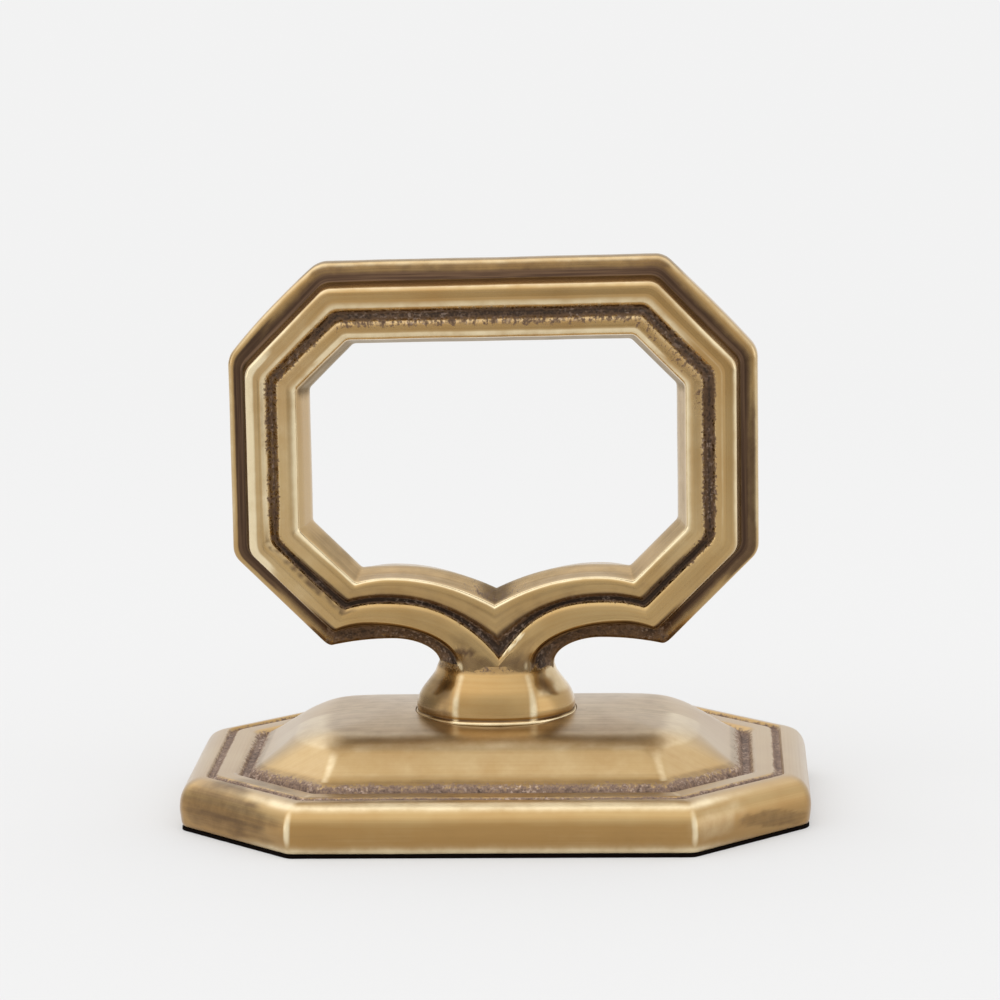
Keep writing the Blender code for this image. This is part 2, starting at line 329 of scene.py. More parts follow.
@dataclass(frozen=True)
class BrokenZone(Zone):
    """A zone broken up into flecks.

    Attributes:
        ground, gain: share of the strength between the flecks, and what a fleck adds.
        edge: levels of the noise between which a fleck's edge lies.
        wave, seed: length of the noise's waves, in millimetres, and its shift.
    """

    ground: float = 0.0
    gain: float = 1.0
    edge: Pair = (-0.2, 0.2)
    wave: float = 1.0
    seed: float = 0.0

    def at(self, point: Triple, offset: float = 0.0) -> float:
        """Return the zone's value, broken up.

        Args:
            point: the place, in metres.
            offset: distance out along the section, in millimetres.

        Returns:
            The value of the whole zone times its flecks.
        """
        whole = super().at(point, offset)
        if whole == 0.0:
            return 0.0
        fleck = smooth(*self.edge, ripple(point, self.wave * MM, self.seed))
        return whole * (self.ground + self.gain * fleck)


@dataclass(frozen=True)
class Blot:
    """A patch on the front of a casting, in millimetres.

    Attributes:
        x, z: its middle, seen from the front.
        half_width, half_height: its reach.
        slope: how it rises to the right.
        strength: its tarnish, worn metal, painted highlight or painted shade, as it is used.
        plateau: share of its reach over which the strength is full.
        raggedness, wave, seed: of its edge.
    """

    x: float
    z: float
    half_width: float
    half_height: float
    slope: float
    strength: float
    plateau: float
    raggedness: float = 0.35
    wave: float = 2.2
    seed: float = 9.3

    def at(self, point: Triple) -> float:
        """Return the patch's strength at a point.

        Args:
            point: the place, in metres.

        Returns:
            The strength, falling to 0 at the patch's edge, and 0 on the back.
        """
        if point[1] >= 0.0:
            return 0.0
        across = point[0] / MM - self.x
        up = point[2] / MM - self.z - self.slope * across
        away = math.hypot(across / self.half_width, up / self.half_height)
        away += self.raggedness * ripple(point, self.wave * MM, self.seed)
        return self.strength * (1.0 - smooth(self.plateau, 1.0, away))


def strongest(zones: Sequence[Zone], point: Triple, offset: float = 0.0) -> float:
    """Return the greatest value of several zones at a point."""
    return max(zone.at(point, offset) for zone in zones)


def blotted(blots: Sequence[Blot], point: Triple) -> float:
    """Return the greatest strength of several blots at a point."""
    return max(blot.at(point) for blot in blots)


# Meshes


@dataclass
class Skin:
    """A lofted surface: its loops and the traits of each of its vertices.

    Attributes:
        name: name of the mesh.
        loops: loops of equally many points.
        traits: one list of values per trait, in the order of the loops' points.
        ring: true where the last loop joins the first; otherwise the ends are capped.
    """

    name: str
    loops: list[Loop]
    traits: dict[Trait, list[float]]
    ring: bool = False

    def mesh(self) -> bpy.types.Mesh:
        """Make the mesh.

        Returns:
            The closed mesh, facing outward, with its traits as point attributes.
        """
        count, rows = len(self.loops[0]), len(self.loops)
        faces = []
        for row in range(rows if self.ring else rows - 1):
            here, above = row * count, ((row + 1) % rows) * count
            for i in range(count):
                j = (i + 1) % count
                faces.append((here + i, here + j, above + j, above + i))
        if not self.ring:
            faces.append(tuple(reversed(range(count))))
            faces.append(tuple(range((rows - 1) * count, rows * count)))
        mesh = bpy.data.meshes.new(self.name)
        mesh.from_pydata([point for loop in self.loops for point in loop], [], faces)
        mesh.validate()
        for trait, values in self.traits.items():
            layer = mesh.attributes.new(trait.value, "FLOAT", "POINT")
            layer.data.foreach_set("value", values)
        if signed_volume(mesh) < 0.0:
            mesh.flip_normals()
        mesh.shade_smooth()
        return mesh


def signed_volume(mesh: bpy.types.Mesh) -> float:
    """Measure the volume inside a mesh.

    Args:
        mesh: a closed mesh.

    Returns:
        Six times the volume, negative where the faces point inward.
    """
    mesh.calc_loop_triangles()
    triangles = ([mesh.vertices[index].co for index in face.vertices] for face in mesh.loop_triangles)
    return sum(a.dot(b.cross(c)) for a, b, c in triangles)


def turned(name: str, radius: float, ends: Pair, sides: int = 32) -> bpy.types.Mesh:
    """Make a closed round bar about Z.

    Args:
        name: name of the mesh.
        radius: of the bar, in millimetres.
        ends: heights of its two ends, in millimetres.
        sides: how many flats it has.

    Returns:
        The mesh.
    """
    angles = [2.0 * math.pi * i / sides for i in range(sides)]
    circle = [(radius * MM * math.cos(a), radius * MM * math.sin(a)) for a in angles]
    loops = [[(x, y, end * MM) for x, y in circle] for end in ends]
    return Skin(name, loops, {}).mesh()


def link(name: str, mesh: bpy.types.Mesh) -> bpy.types.Object:
    """Make an object and link it to the scene.

    Args:
        name: name of the object.
        mesh: its mesh or other data.

    Returns:
        The object.
    """
    item = bpy.data.objects.new(name, mesh)
    bpy.context.scene.collection.objects.link(item)
    return item


def combined(name: str, body: bpy.types.Mesh, steps: Sequence[tuple[str, bpy.types.Mesh]],
             sharp: float) -> bpy.types.Object:
    """Cut and join meshes with exact Booleans, and carry the traits over.

    Args:
        name: name of the object that results.
        body: the mesh to start from.
        steps: pairs of a Boolean operation and the other mesh.
        sharp: angle in degrees from which an edge is sharp.

    Returns:
        The object, whose mesh is the applied result.
    """
    item = link(name, body)
    tools = []
    for operation, mesh in steps:
        tool = link(mesh.name + "_tool", mesh)
        tools.append(tool)
        modifier = item.modifiers.new(operation.title(), "BOOLEAN")
        modifier.operation = operation
        modifier.object = tool
        modifier.solver = "EXACT"
    graph = bpy.context.evaluated_depsgraph_get()
    result = bpy.data.meshes.new_from_object(item.evaluated_get(graph))
    carry_traits([body] + [mesh for operation, mesh in steps if operation == "UNION"], result)
    item.modifiers.clear()
    item.data = result
    result.name = name
    for tool in tools:
        bpy.data.objects.remove(tool, do_unlink=True)
    result.set_sharp_from_angle(angle=math.radians(sharp))
    return item


def carry_traits(sources: Sequence[bpy.types.Mesh], result: bpy.types.Mesh) -> None:
    """Give every vertex of a result the traits of the nearest vertex of its sources.

    Args:
        sources: the meshes that the result was made from.
        result: the mesh that takes the traits.
    """
    places = [vertex.co for mesh in sources for vertex in mesh.vertices]
    tree = KDTree(len(places))
    for index, place in enumerate(places):
        tree.insert(place, index)
    tree.balance()
    nearest = [tree.find(vertex.co)[1] for vertex in result.vertices]
    for trait in Trait:
        values = np.concatenate([trait_values(mesh, trait) for mesh in sources])
        layer = result.attributes.get(trait.value) or result.attributes.new(trait.value, "FLOAT", "POINT")
        layer.data.foreach_set("value", values[nearest])


def trait_values(mesh: bpy.types.Mesh, trait: Trait) -> np.ndarray:
    """Read one trait of a mesh.

    Args:
        mesh: the mesh.
        trait: the trait.

    Returns:
        Its value at every vertex.
    """
    values = np.zeros(len(mesh.vertices), np.float32)
    mesh.attributes[trait.value].data.foreach_get("value", values)
    return values


# Shader building blocks


class NodeSheet:
    """A node tree with short ways to add and link nodes."""

    def __init__(self, tree: bpy.types.NodeTree) -> None:
        """Start on an empty tree."""
        self.tree = tree
        tree.nodes.clear()

    def add(self, kind: str, inputs: dict | None = None, **settings: object) -> bpy.types.Node:
        """Add a node.

        Args:
            kind: the node's Blender type.
            inputs: values or sockets for its inputs, by name or index.
            **settings: properties of the node itself.

        Returns:
            The new node.
        """
        node = self.tree.nodes.new(kind)
        for key, value in settings.items():
            setattr(node, key, value)
        for key, value in (inputs or {}).items():
            if isinstance(value, bpy.types.NodeSocket):
                self.tree.links.new(value, node.inputs[key])
            else:
                node.inputs[key].default_value = value
        return node

    def math(self, operation: str, *values: object) -> bpy.types.NodeSocket:
        """Return the result of a Math node."""
        return self.add("ShaderNodeMath", dict(enumerate(values)), operation=operation).outputs[0]

    def total(self, *values: object) -> bpy.types.NodeSocket:
        """Return the sum of several values."""
        return reduce(lambda a, b: self.math("ADD", a, b), values)

    def product(self, *values: object) -> bpy.types.NodeSocket:
        """Return the product of several values."""
        return reduce(lambda a, b: self.math("MULTIPLY", a, b), values)

    def line(self, value: object, gain: float, start: float) -> bpy.types.NodeSocket:
        """Return a value times a gain, plus a start."""
        return self.math("MULTIPLY_ADD", value, gain, start)

    def swing(self, value: object, amount: float) -> bpy.types.NodeSocket:
        """Return a value from 0 to 1 as a swing of the given amount about 0."""
        return self.line(value, amount, -0.5 * amount)

    def step(self, value: object, low: float, high: float, at_low: float = 0.0,
             at_high: float = 1.0) -> bpy.types.NodeSocket:
        """Return a value mapped with a soft step, from at_low at low to at_high at high."""
        inputs = {"Value": value, "From Min": low, "From Max": high, "To Min": at_low, "To Max": at_high}
        return self.add("ShaderNodeMapRange", inputs, interpolation_type="SMOOTHSTEP").outputs["Result"]

    def blend(self, share: object, a: object, b: object) -> bpy.types.NodeSocket:
        """Return the mix of two colours."""
        inputs = {0: share, 6: a, 7: b}
        return self.add("ShaderNodeMix", inputs, data_type="RGBA", clamp_factor=True).outputs[2]

    def noise(self, vector: object, scale: float, detail: float = 2.0,
              rough: float = 0.5) -> bpy.types.NodeSocket:
        """Return the value of a Noise Texture."""
        inputs = {"Vector": vector, "Scale": scale, "Detail": detail, "Roughness": rough}
        return self.add("ShaderNodeTexNoise", inputs).outputs["Fac"]

    def trait(self, trait: Trait) -> bpy.types.NodeSocket:
        """Return a vertex trait."""
        return self.add("ShaderNodeAttribute", attribute_name=trait.value).outputs["Fac"]

    def place(self) -> bpy.types.NodeSocket:
        """Return the place on the object."""
        return self.add("ShaderNodeTexCoord").outputs["Object"]

    def shifted(self, vector: object, other: object) -> bpy.types.NodeSocket:
        """Return the sum of two vectors."""
        return self.add("ShaderNodeVectorMath", {0: vector, 1: other}, operation="ADD").outputs[0]

    def scaled(self, vector: object, factor: float) -> bpy.types.NodeSocket:
        """Return a vector times a factor."""
        return self.add("ShaderNodeVectorMath", {0: vector, "Scale": factor}, operation="SCALE").outputs[0]

    def joined(self, *parts: object) -> bpy.types.NodeSocket:
        """Return a vector of up to three parts."""
        return self.add("ShaderNodeCombineXYZ", dict(enumerate(parts))).outputs[0]

    def parted(self, vector: object) -> bpy.types.NodeOutputs:
        """Return the X, Y and Z of a vector."""
        return self.add("ShaderNodeSeparateXYZ", {"Vector": vector}).outputs

    def bump(self, height: object) -> bpy.types.NodeSocket:
        """Return the normal of a surface with a height in metres."""
        inputs = {"Height": height, "Strength": 1.0, "Distance": 1.0}
        return self.add("ShaderNodeBump", inputs).outputs[0]

    def surface(self, inputs: dict) -> None:
        """End a material with a Principled shader that has the given inputs."""
        shader = self.add("ShaderNodeBsdfPrincipled", inputs)
        self.add("ShaderNodeOutputMaterial", {"Surface": shader.outputs[0]})


class EffectGroup:
    """A shader node group that several materials share."""

    def __init__(self, name: str, inputs: dict[str, float], outputs: Sequence[str]) -> None:
        """Make the group's sockets.

        Args:
            name: name of the group.
            inputs: float inputs and their usual values.
            outputs: float outputs.
        """
        self.tree = bpy.data.node_groups.new(name, "ShaderNodeTree")
        self.sheet = NodeSheet(self.tree)
        for key, value in inputs.items():
            socket = self.tree.interface.new_socket(key, in_out="INPUT", socket_type="NodeSocketFloat")
            socket.default_value = value
        for key in outputs:
            self.tree.interface.new_socket(key, in_out="OUTPUT", socket_type="NodeSocketFloat")
        self.given = self.sheet.add("NodeGroupInput").outputs
        self.result = self.sheet.add("NodeGroupOutput").inputs

    def give(self, key: str, value: bpy.types.NodeSocket) -> None:
        """Link a value to one of the group's outputs."""
        self.tree.links.new(value, self.result[key])

    def place_in(self, sheet: NodeSheet, inputs: dict) -> bpy.types.NodeOutputs:
        """Put the group in a material and return its outputs."""
        return sheet.add("ShaderNodeGroup", inputs, node_tree=self.tree).outputs


class Effects:
    """The effects shared by the brass and steel finishes."""

    def __init__(self) -> None:
        """Build every group once."""
        self.brushing = self.make_brushing()
        self.patina = self.make_patina()
        self.stain_and_shade = self.make_stain()
        self.wear_and_highlight = self.make_wear()
        self.pits = self.make_pits()

    def make_brushing(self) -> EffectGroup:
        """Make the polishing lines.

        Returns:
            The group, with fine lines that run along a moulding and a slow mottle.
        """
        group = EffectGroup("polishing_lines", {"Across": 0.0, "Fineness": 5200.0}, ["Lines", "Mottle"])
        sheet = group.sheet
        lines = sheet.product(group.given["Across"], group.given["Fineness"])
        lane = sheet.shifted(sheet.scaled(sheet.place(), factor=45.0), sheet.joined(lines, lines, lines))
        group.give("Lines", sheet.noise(lane, scale=1.0, detail=3.0, rough=0.6))
        group.give("Mottle", sheet.noise(sheet.place(), scale=140.0, detail=3.0, rough=0.55))
        return group

    def make_patina(self) -> EffectGroup:
        """Make the dark growth in grooves.

        Returns:
            The group, broken up into grains and combed across the moulding.
        """
        inputs = {"Patina": 0.0, "Across": 0.0, "Along": 0.0, "Comb": 0.0}
        group = EffectGroup("groove_patina", inputs, ["Mask", "Depth", "Grain", "Glint"])
        sheet, given = group.sheet, group.given
        patina = given["Patina"]
        coarse = sheet.swing(sheet.noise(sheet.place(), scale=380.0), amount=0.6)
        medium = sheet.swing(sheet.noise(sheet.place(), scale=1500.0), amount=0.7)
        fine = sheet.noise(sheet.place(), scale=3700.0, rough=0.6)
        along, across, depth = 2300.0, 800.0, 6.0
        teeth = sheet.joined(sheet.product(given["Along"], along), sheet.product(given["Across"], across),
                             sheet.product(sheet.noise(sheet.place(), scale=60.0), depth))
        comb = sheet.swing(sheet.noise(teeth, scale=1.0, detail=3.0, rough=0.6), amount=1.7)
        at_edge = sheet.step(patina, low=0.5, high=1.0, at_low=1.0, at_high=0.15)
        comb = sheet.product(comb, given["Comb"], at_edge)
        level = sheet.total(patina, coarse, medium, sheet.swing(fine, amount=1.4), comb)
        gate = sheet.step(patina, low=0.0, high=0.12)
        group.give("Mask", sheet.product(sheet.step(level, low=0.25, high=0.75), gate))
        group.give("Depth", sheet.step(level, low=0.65, high=1.3))
        group.give("Grain", fine)
        sparks = sheet.step(sheet.noise(sheet.place(), scale=2300.0, rough=0.6), low=0.53, high=0.66)
        clusters = sheet.step(sheet.noise(sheet.place(), scale=170.0), low=0.38, high=0.62)
        group.give("Glint", sheet.product(sparks, clusters, sheet.step(patina, low=0.3, high=0.6)))
        return group

    def make_stain(self) -> EffectGroup:
        """Make the smooth tarnish, which also carries painted shade.

        Returns:
            The group, with a slightly cloudy, streaked edge.
        """
        group = EffectGroup("cloudy_tarnish_and_shade", {"Stain_and_shade": 0.0, "Across": 0.0, "Along": 0.0}, ["Mask", "Streak"])
        sheet, given = group.sheet, group.given
        along, across = 70.0, 2400.0
        cloud = sheet.swing(sheet.noise(sheet.place(), scale=500.0, detail=4.0, rough=0.6), amount=0.4)
        lane = sheet.joined(sheet.product(given["Along"], along), sheet.product(given["Across"], across))
        lines = sheet.noise(lane, scale=1.0, detail=3.0, rough=0.6)
        wisp = sheet.total(cloud, sheet.swing(lines, amount=0.5))
        wisp = sheet.product(wisp, sheet.step(given["Stain_and_shade"], low=0.0, high=0.3))
        group.give("Streak", sheet.step(lines, low=0.38, high=0.66))
        group.give("Mask", sheet.step(sheet.total(given["Stain_and_shade"], wisp), low=0.08, high=0.95))
        return group

    def make_wear(self) -> EffectGroup:
        """Make the bright worn metal along arrises, which also carries painted highlights.

        Returns:
            The group, slightly patchy.
        """
        group = EffectGroup("rubbed_arrises_and_highlights", {"Wear_and_highlight": 0.0}, ["Mask"])
        sheet = group.sheet
        grain = sheet.noise(sheet.place(), scale=420.0, detail=3.0, rough=0.6)
        patchy = sheet.line(grain, gain=0.9, start=0.35)
        group.give("Mask", sheet.step(sheet.product(group.given["Wear_and_highlight"], patchy), low=0.1, high=0.8))
        return group

    def make_pits(self) -> EffectGroup:
        """Make the sparse casting pits.

        Returns:
            The group, with pits of many sizes.
        """
        group = EffectGroup("casting_pits", {"Rarity": 0.999, "Radius": 0.05}, ["Mask"])
        sheet = group.sheet
        wobble = sheet.add("ShaderNodeTexNoise", {"Vector": sheet.place(), "Scale": 1500.0}).outputs["Color"]
        spot = sheet.shifted(sheet.place(), sheet.scaled(wobble, factor=0.0002))
        cells = sheet.add("ShaderNodeTexVoronoi", {"Vector": spot, "Scale": 330.0}).outputs
        lot = sheet.add("ShaderNodeSeparateColor", {"Color": cells["Color"]}).outputs
        chosen = sheet.math("GREATER_THAN", lot["Red"], group.given["Rarity"])
        size = sheet.product(group.given["Radius"], sheet.line(lot["Green"], gain=1.0, start=0.5))
        away = sheet.math("DIVIDE", cells["Distance"], size)
        shape = sheet.step(away, low=0.5, high=1.1, at_low=0.75, at_high=0.0)
        group.give("Mask", sheet.product(chosen, shape))
        return group


# Finishes


def new_material(name: str) -> tuple[bpy.types.Material, NodeSheet]:
    """Make an empty node material.

    Args:
        name: name of the material.

    Returns:
        The material and its sheet.
    """
    material = bpy.data.materials.new(name)
    material.use_nodes = True
    return material, NodeSheet(material.node_tree)


@dataclass(frozen=True)
class AgedBrass:
    """Lacquered antique brass: polished faces, rubbed arrises, dark grooves, and painted highlights and
    painted shade in places.

    Attributes:
        name: name of the material.
        golden, amber: the two tones of the polished metal.
        rubbed_and_highlight: the metal of worn arrises, also used for painted highlights.
        brown, dark: the patina in the grooves, shallow and deep.
        tarnish_and_shade, bronze_and_shade_streak: purple-brown stains and the lighter streaks in them, also
        used for painted shade.
        pale: bare grains within the patina.
        edge_tint: of reflections at a grazing angle.
        line_tone, mottle_tone, tone_shift: how the lines and mottle move the metal's tone.
        roughness, coat_roughness: of the polished metal and of its lacquer.
        line_rough, patina_rough, stain_rough: what these add to the roughness.
        metal_loss: share of the metal that patina hides.
        coat, coat_loss: weight of the lacquer, and what patina and stains take from it.
        fineness: how many polishing lines there are, per metre of noise.
        combing: how far the patina's edges are combed across the moulding.
        glinting: how strongly the bare grains show.
        line_depth, grain_depth, pit_depth: of the lines, the patina's grain and the pits, in metres.
    """

    name: str
    golden: Colour = (0.475, 0.312, 0.118, 1.0)
    amber: Colour = (0.40, 0.225, 0.060, 1.0)
    rubbed_and_highlight: Colour = (0.82, 0.68, 0.43, 1.0)
    brown: Colour = (0.16, 0.094, 0.054, 1.0)
    dark: Colour = (0.048, 0.028, 0.019, 1.0)
    tarnish_and_shade: Colour = (0.060, 0.034, 0.021, 1.0)
    bronze_and_shade_streak: Colour = (0.120, 0.071, 0.041, 1.0)
    pale: Colour = (0.58, 0.44, 0.35, 1.0)
    edge_tint: Colour = (1.0, 1.0, 1.0, 1.0)
    line_tone: float = 0.9
    mottle_tone: float = 1.6
    tone_shift: float = -1.0
    roughness: float = 0.23
    coat_roughness: float = 0.14
    line_rough: float = 0.12
    patina_rough: float = 0.4
    stain_rough: float = 0.06
    metal_loss: float = 0.7
    coat: float = 0.9
    coat_loss: float = 0.85
    fineness: float = 4200.0
    combing: float = 1.0
    glinting: float = 0.4
    line_depth: float = 0.000005
    grain_depth: float = 0.00005
    pit_depth: float = 0.00005

    def material(self, effects: Effects) -> bpy.types.Material:
        """Make the material.

        Args:
            effects: the shared effects.

        Returns:
            The material, for a mesh with brass traits.
        """
        material, sheet = new_material(self.name)
        run = {"Across": sheet.trait(Trait.ACROSS), "Along": sheet.trait(Trait.ALONG)}
        brushing = effects.brushing.place_in(sheet, {"Across": run["Across"], "Fineness": self.fineness})
        growth = effects.patina.place_in(
            sheet, {"Patina": sheet.trait(Trait.PATINA), "Comb": self.combing, **run})
        tarnish_and_shade = effects.stain_and_shade.place_in(sheet, {"Stain_and_shade": sheet.trait(Trait.STAIN_AND_SHADE), **run})
        wear_and_highlight = effects.wear_and_highlight.place_in(sheet, {"Wear_and_highlight": sheet.trait(Trait.WEAR_AND_HIGHLIGHT)})["Mask"]
        pits = effects.pits.place_in(sheet, {})["Mask"]
        lines, patina, stain_and_shade = brushing["Lines"], growth["Mask"], tarnish_and_shade["Mask"]

        mottle = sheet.line(brushing["Mottle"], self.mottle_tone, self.tone_shift)
        tone = sheet.total(sheet.product(lines, self.line_tone), mottle, sheet.trait(Trait.TINT))
        colour = sheet.blend(tone, self.golden, self.amber)
        # purple-brown tarnish, which in some zones is painted shade
        colour = sheet.blend(stain_and_shade, colour, sheet.blend(tarnish_and_shade["Streak"], self.tarnish_and_shade, self.bronze_and_shade_streak))
        # worn metal, which in some zones is a painted highlight
        colour = sheet.blend(wear_and_highlight, colour, self.rubbed_and_highlight)
        colour = sheet.blend(patina, colour, sheet.blend(growth["Depth"], self.brown, self.dark))
        colour = sheet.blend(sheet.product(growth["Glint"], self.glinting), colour, self.pale)
        colour = sheet.blend(pits, colour, self.dark)

        rough = sheet.total(sheet.line(lines, self.line_rough, self.roughness - 0.5 * self.line_rough),
                            sheet.product(patina, self.patina_rough), sheet.product(stain_and_shade, self.stain_rough))
        hidden = sheet.math("MAXIMUM", patina, stain_and_shade)
        height = sheet.total(sheet.product(lines, self.line_depth),
                             sheet.product(growth["Grain"], patina, self.grain_depth),
                             sheet.product(pits, -self.pit_depth))
        sheet.surface({
            "Base Color": colour, "Roughness": rough, "Metallic": sheet.line(patina, -self.metal_loss, 1.0),
            "Normal": sheet.bump(height), "Coat Weight": sheet.line(hidden, -self.coat_loss, self.coat),
            "Coat Roughness": self.coat_roughness, "Specular Tint": self.edge_tint})
        return material


@dataclass(frozen=True)
class PlatedSteel:
    """Plated steel of the hidden screw and washer, with turning lines.

    Attributes:
        name: name of the material.
        light, dull: its two tones.
        fineness, line_depth: how many turning lines there are, and their height in metres.
        roughness, line_rough: least roughness, and what the lines add.
    """

    name: str = "plated_steel_turned"
    light: Colour = (0.58, 0.57, 0.55, 1.0)
    dull: Colour = (0.36, 0.35, 0.34, 1.0)
    fineness: float = 9000.0
    line_depth: float = 0.00001
    roughness: float = 0.2
    line_rough: float = 0.3

    def material(self, effects: Effects) -> bpy.types.Material:
        """Make the material.

        Args:
            effects: the shared effects.

        Returns:
            The material.
        """
        material, sheet = new_material(self.name)
        height = sheet.parted(sheet.place())["Z"]
        turning = effects.brushing.place_in(sheet, {"Across": height, "Fineness": self.fineness})
        sheet.surface({
            "Base Color": sheet.blend(turning["Mottle"], self.light, self.dull), "Metallic": 1.0,
            "Roughness": sheet.line(turning["Lines"], self.line_rough, self.roughness),
            "Normal": sheet.bump(sheet.product(turning["Lines"], self.line_depth))})
        return material


@dataclass(frozen=True)
class BlackFelt:
    """Pressed black felt with fibres in all directions.

    Attributes:
        name: name of the material.
        deep, pale: its two tones.
        fibre_depth: height of the fibres in metres.
        roughness, clump_rough: least roughness, and what the clumps add.
        gloss: level of its reflections.
    """

    name: str = "black_felt_fibres"
    deep: Colour = (0.0020, 0.0008, 0.0005, 1.0)
    pale: Colour = (0.008, 0.004, 0.003, 1.0)
    fibre_depth: float = 0.00006
    roughness: float = 0.78
    clump_rough: float = 0.2
    gloss: float = 0.05

    def material(self) -> bpy.types.Material:
        """Make the material.

        Returns:
            The material.
        """
        material, sheet = new_material(self.name)
        fibres = sheet.noise(sheet.place(), scale=2600.0, detail=5.0, rough=0.7)
        clumps = sheet.noise(sheet.place(), scale=420.0)
        sheet.surface({
            "Base Color": sheet.blend(sheet.product(fibres, clumps), self.deep, self.pale),
            "Roughness": sheet.line(clumps, self.clump_rough, self.roughness),
            "Normal": sheet.bump(sheet.product(fibres, self.fibre_depth)), "Specular IOR Level": self.gloss})
        return material


# Sub-assemblies


@dataclass
class FlaredFoot:
    """The eight-sided foot below the ring's neck.

    Attributes:
        sections: height, half width, half depth, half of the front facet and half of the side
            facet, in millimetres, from the bottom up.
        levels: how many levels the foot is skinned with.
        corner_reach: how far from a corner its rounding starts.
        roundness: how far the facets' plan goes over to an oval.
        bow: how much wider and deeper that oval is than the facets.
        ridges: worn metal and painted highlights of the ridges at the front and back, and at the sides.
        right_share: width of the right half against the left.
        facet_steps, corner_steps: divisions of a facet, and points of a corner.
        patina, lip, painted_right_light, crease: zones of the patina, of the worn lip, of painted light on
            the
        right side, and of the crease under the neck.
        left, left_darkening, left_dullness: the left side, how much darker it is, and the share of its worn
            metal and highlights that it loses.
        seam, seam_reach, seam_stain: height, reach and strength of the stain above the lip.
        rub_and_highlight, low_rub_and_highlight: worn metal and painted highlights on the ridges, and what is
            added low down.
        tint: tone of the metal.
        line_share: share of the height that the polishing lines follow.
    """

    sections: tuple[Station, ...] = (
        (10.2, 8.9, 7.2, 4.7, 2.45), (10.45, 9.1, 7.5, 4.8, 2.5), (10.75, 9.1, 7.5, 4.8, 2.5),
        (10.95, 8.9, 7.25, 4.75, 2.45), (11.3, 8.95, 7.3, 4.75, 2.45), (11.9, 8.9, 7.25, 4.75, 2.45),
        (13.0, 8.45, 7.0, 4.7, 2.3), (14.0, 7.7, 6.65, 4.55, 2.0), (15.0, 6.95, 6.1, 4.25, 1.7),
        (15.8, 6.6, 5.65, 4.0, 1.5), (16.25, 6.4, 5.3, 3.85, 1.4), (16.7, 6.25, 5.02, 3.8, 1.4))
    levels: int = 70
    corner_reach: float = 1.0 * MM
    roundness: float = 0.72
    bow: Pair = (0.3 * MM, 0.45 * MM)
    ridges: Pair = (1.0, 0.35)
    right_share: float = 0.95
    facet_steps: int = 7
    corner_steps: int = 9
    patina: tuple[Zone, ...] = (Zone(0.9, z=falling(10.2, 10.4)), Zone(0.32, z=rising(15.9, 16.3)))
    lip: Zone = Zone(0.8, z=(10.3, 10.45, 10.75, 10.9))
    # painted light: brightens the right side, where it would reflect the ring's dark underside
    painted_right_light: Zone = Zone(0.6, x=rising(4.2, 5.2), z=(12.8, 13.8, 15.8, 16.4))
    left: Zone = Zone(x=falling(-5.6, -4.0), z=falling(14.6, 16.2))
    # darker on the left side
    left_darkening: float = 0.55
    left_dullness: float = 0.7
    crease: Zone = Zone(0.5, z=rising(15.6, 16.1))
    seam: float = 10.97
    seam_reach: float = 0.18
    seam_stain: float = 0.9
    # worn metal with painted highlights on the ridges
    rub_and_highlight: float = 0.5
    low_rub_and_highlight: Zone = Zone(0.35, z=falling(12.5, 14.5))
    tint: float = 0.3
    line_share: float = 0.3

    def section_at(self, height: float) -> np.ndarray:
        """Return the section at a height.

        Args:
            height: level in millimetres.

        Returns:
            The section's four sizes in metres, on smooth curves through the given ones.
        """
        last = len(self.sections) - 2
        low = min(max(sum(section[0] <= height for section in self.sections) - 1, 0), last)
        near = (max(low - 1, 0), low, low + 1, min(low + 2, last + 1))
        a, b, c, d = (np.array(self.sections[index]) for index in near)
        gap = c[0] - b[0]
        t = (height - b[0]) / gap
        slope_b = (c - a) / (c[0] - a[0]) * gap
        slope_c = (d - b) / (d[0] - b[0]) * gap
        curve = ((2 * t ** 3 - 3 * t ** 2 + 1) * b + (t ** 3 - 2 * t ** 2 + t) * slope_b
                 + (3 * t ** 2 - 2 * t ** 3) * c + (t ** 3 - t ** 2) * slope_c)
        return curve[1:] * MM

    def loop(self, height: float, clearance: float = 0.0) -> tuple[Loop, list[float]]:
        """Return one level loop.

        Args:
            height: level in millimetres.
            clearance: distance to set the loop out by, in metres.

        Returns:
            The points of the loop, and the worn metal and highlight at each: full on the ridges between
            facets.
        """
        slant = clearance * MITRE
        w, d, f, s = (float(size) for size in self.section_at(height) + (clearance, clearance, slant, slant))
        reaches = (self.corner_reach, self.corner_reach)
        steps = (self.facet_steps, self.facet_steps)
        points, wear_and_highlight = rounded_octagon(octagon(w, d, f, s), reaches, self.ridges, self.corner_steps, steps)
        a, b = w + self.bow[0], d + self.bow[1]
        loop = []
        for x, y in points:
            stretch = 1.0 + self.roundness * (1.0 / math.hypot(x / a, y / b) - 1.0)
            side = self.right_share if x > 0.0 else 1.0
            loop.append((x * stretch * side, y * stretch, height * MM))
        return loop, wear_and_highlight

    def skin(self) -> Skin:
        """Loft the foot.

        Returns:
            Its skin, with patina at the lip and crease and a darker left side.
        """
        bottom, top = self.sections[0][0], self.sections[-1][0]
        loops = []
        traits: dict[Trait, list[float]] = {trait: [] for trait in Trait}
        traits[Trait.ALONG] = mirrored_run(self.loop(0.5 * (bottom + top))[0]) * self.levels
        for height in np.linspace(bottom, top, self.levels):
            loop, ridges = self.loop(float(height))
            loops.append(loop)
            seam = self.seam_stain * max(0.0, 1.0 - abs(height - self.seam) / self.seam_reach)
            for point, ridge in zip(loop, ridges):
                left, crease = self.left.at(point), self.crease.at(point)
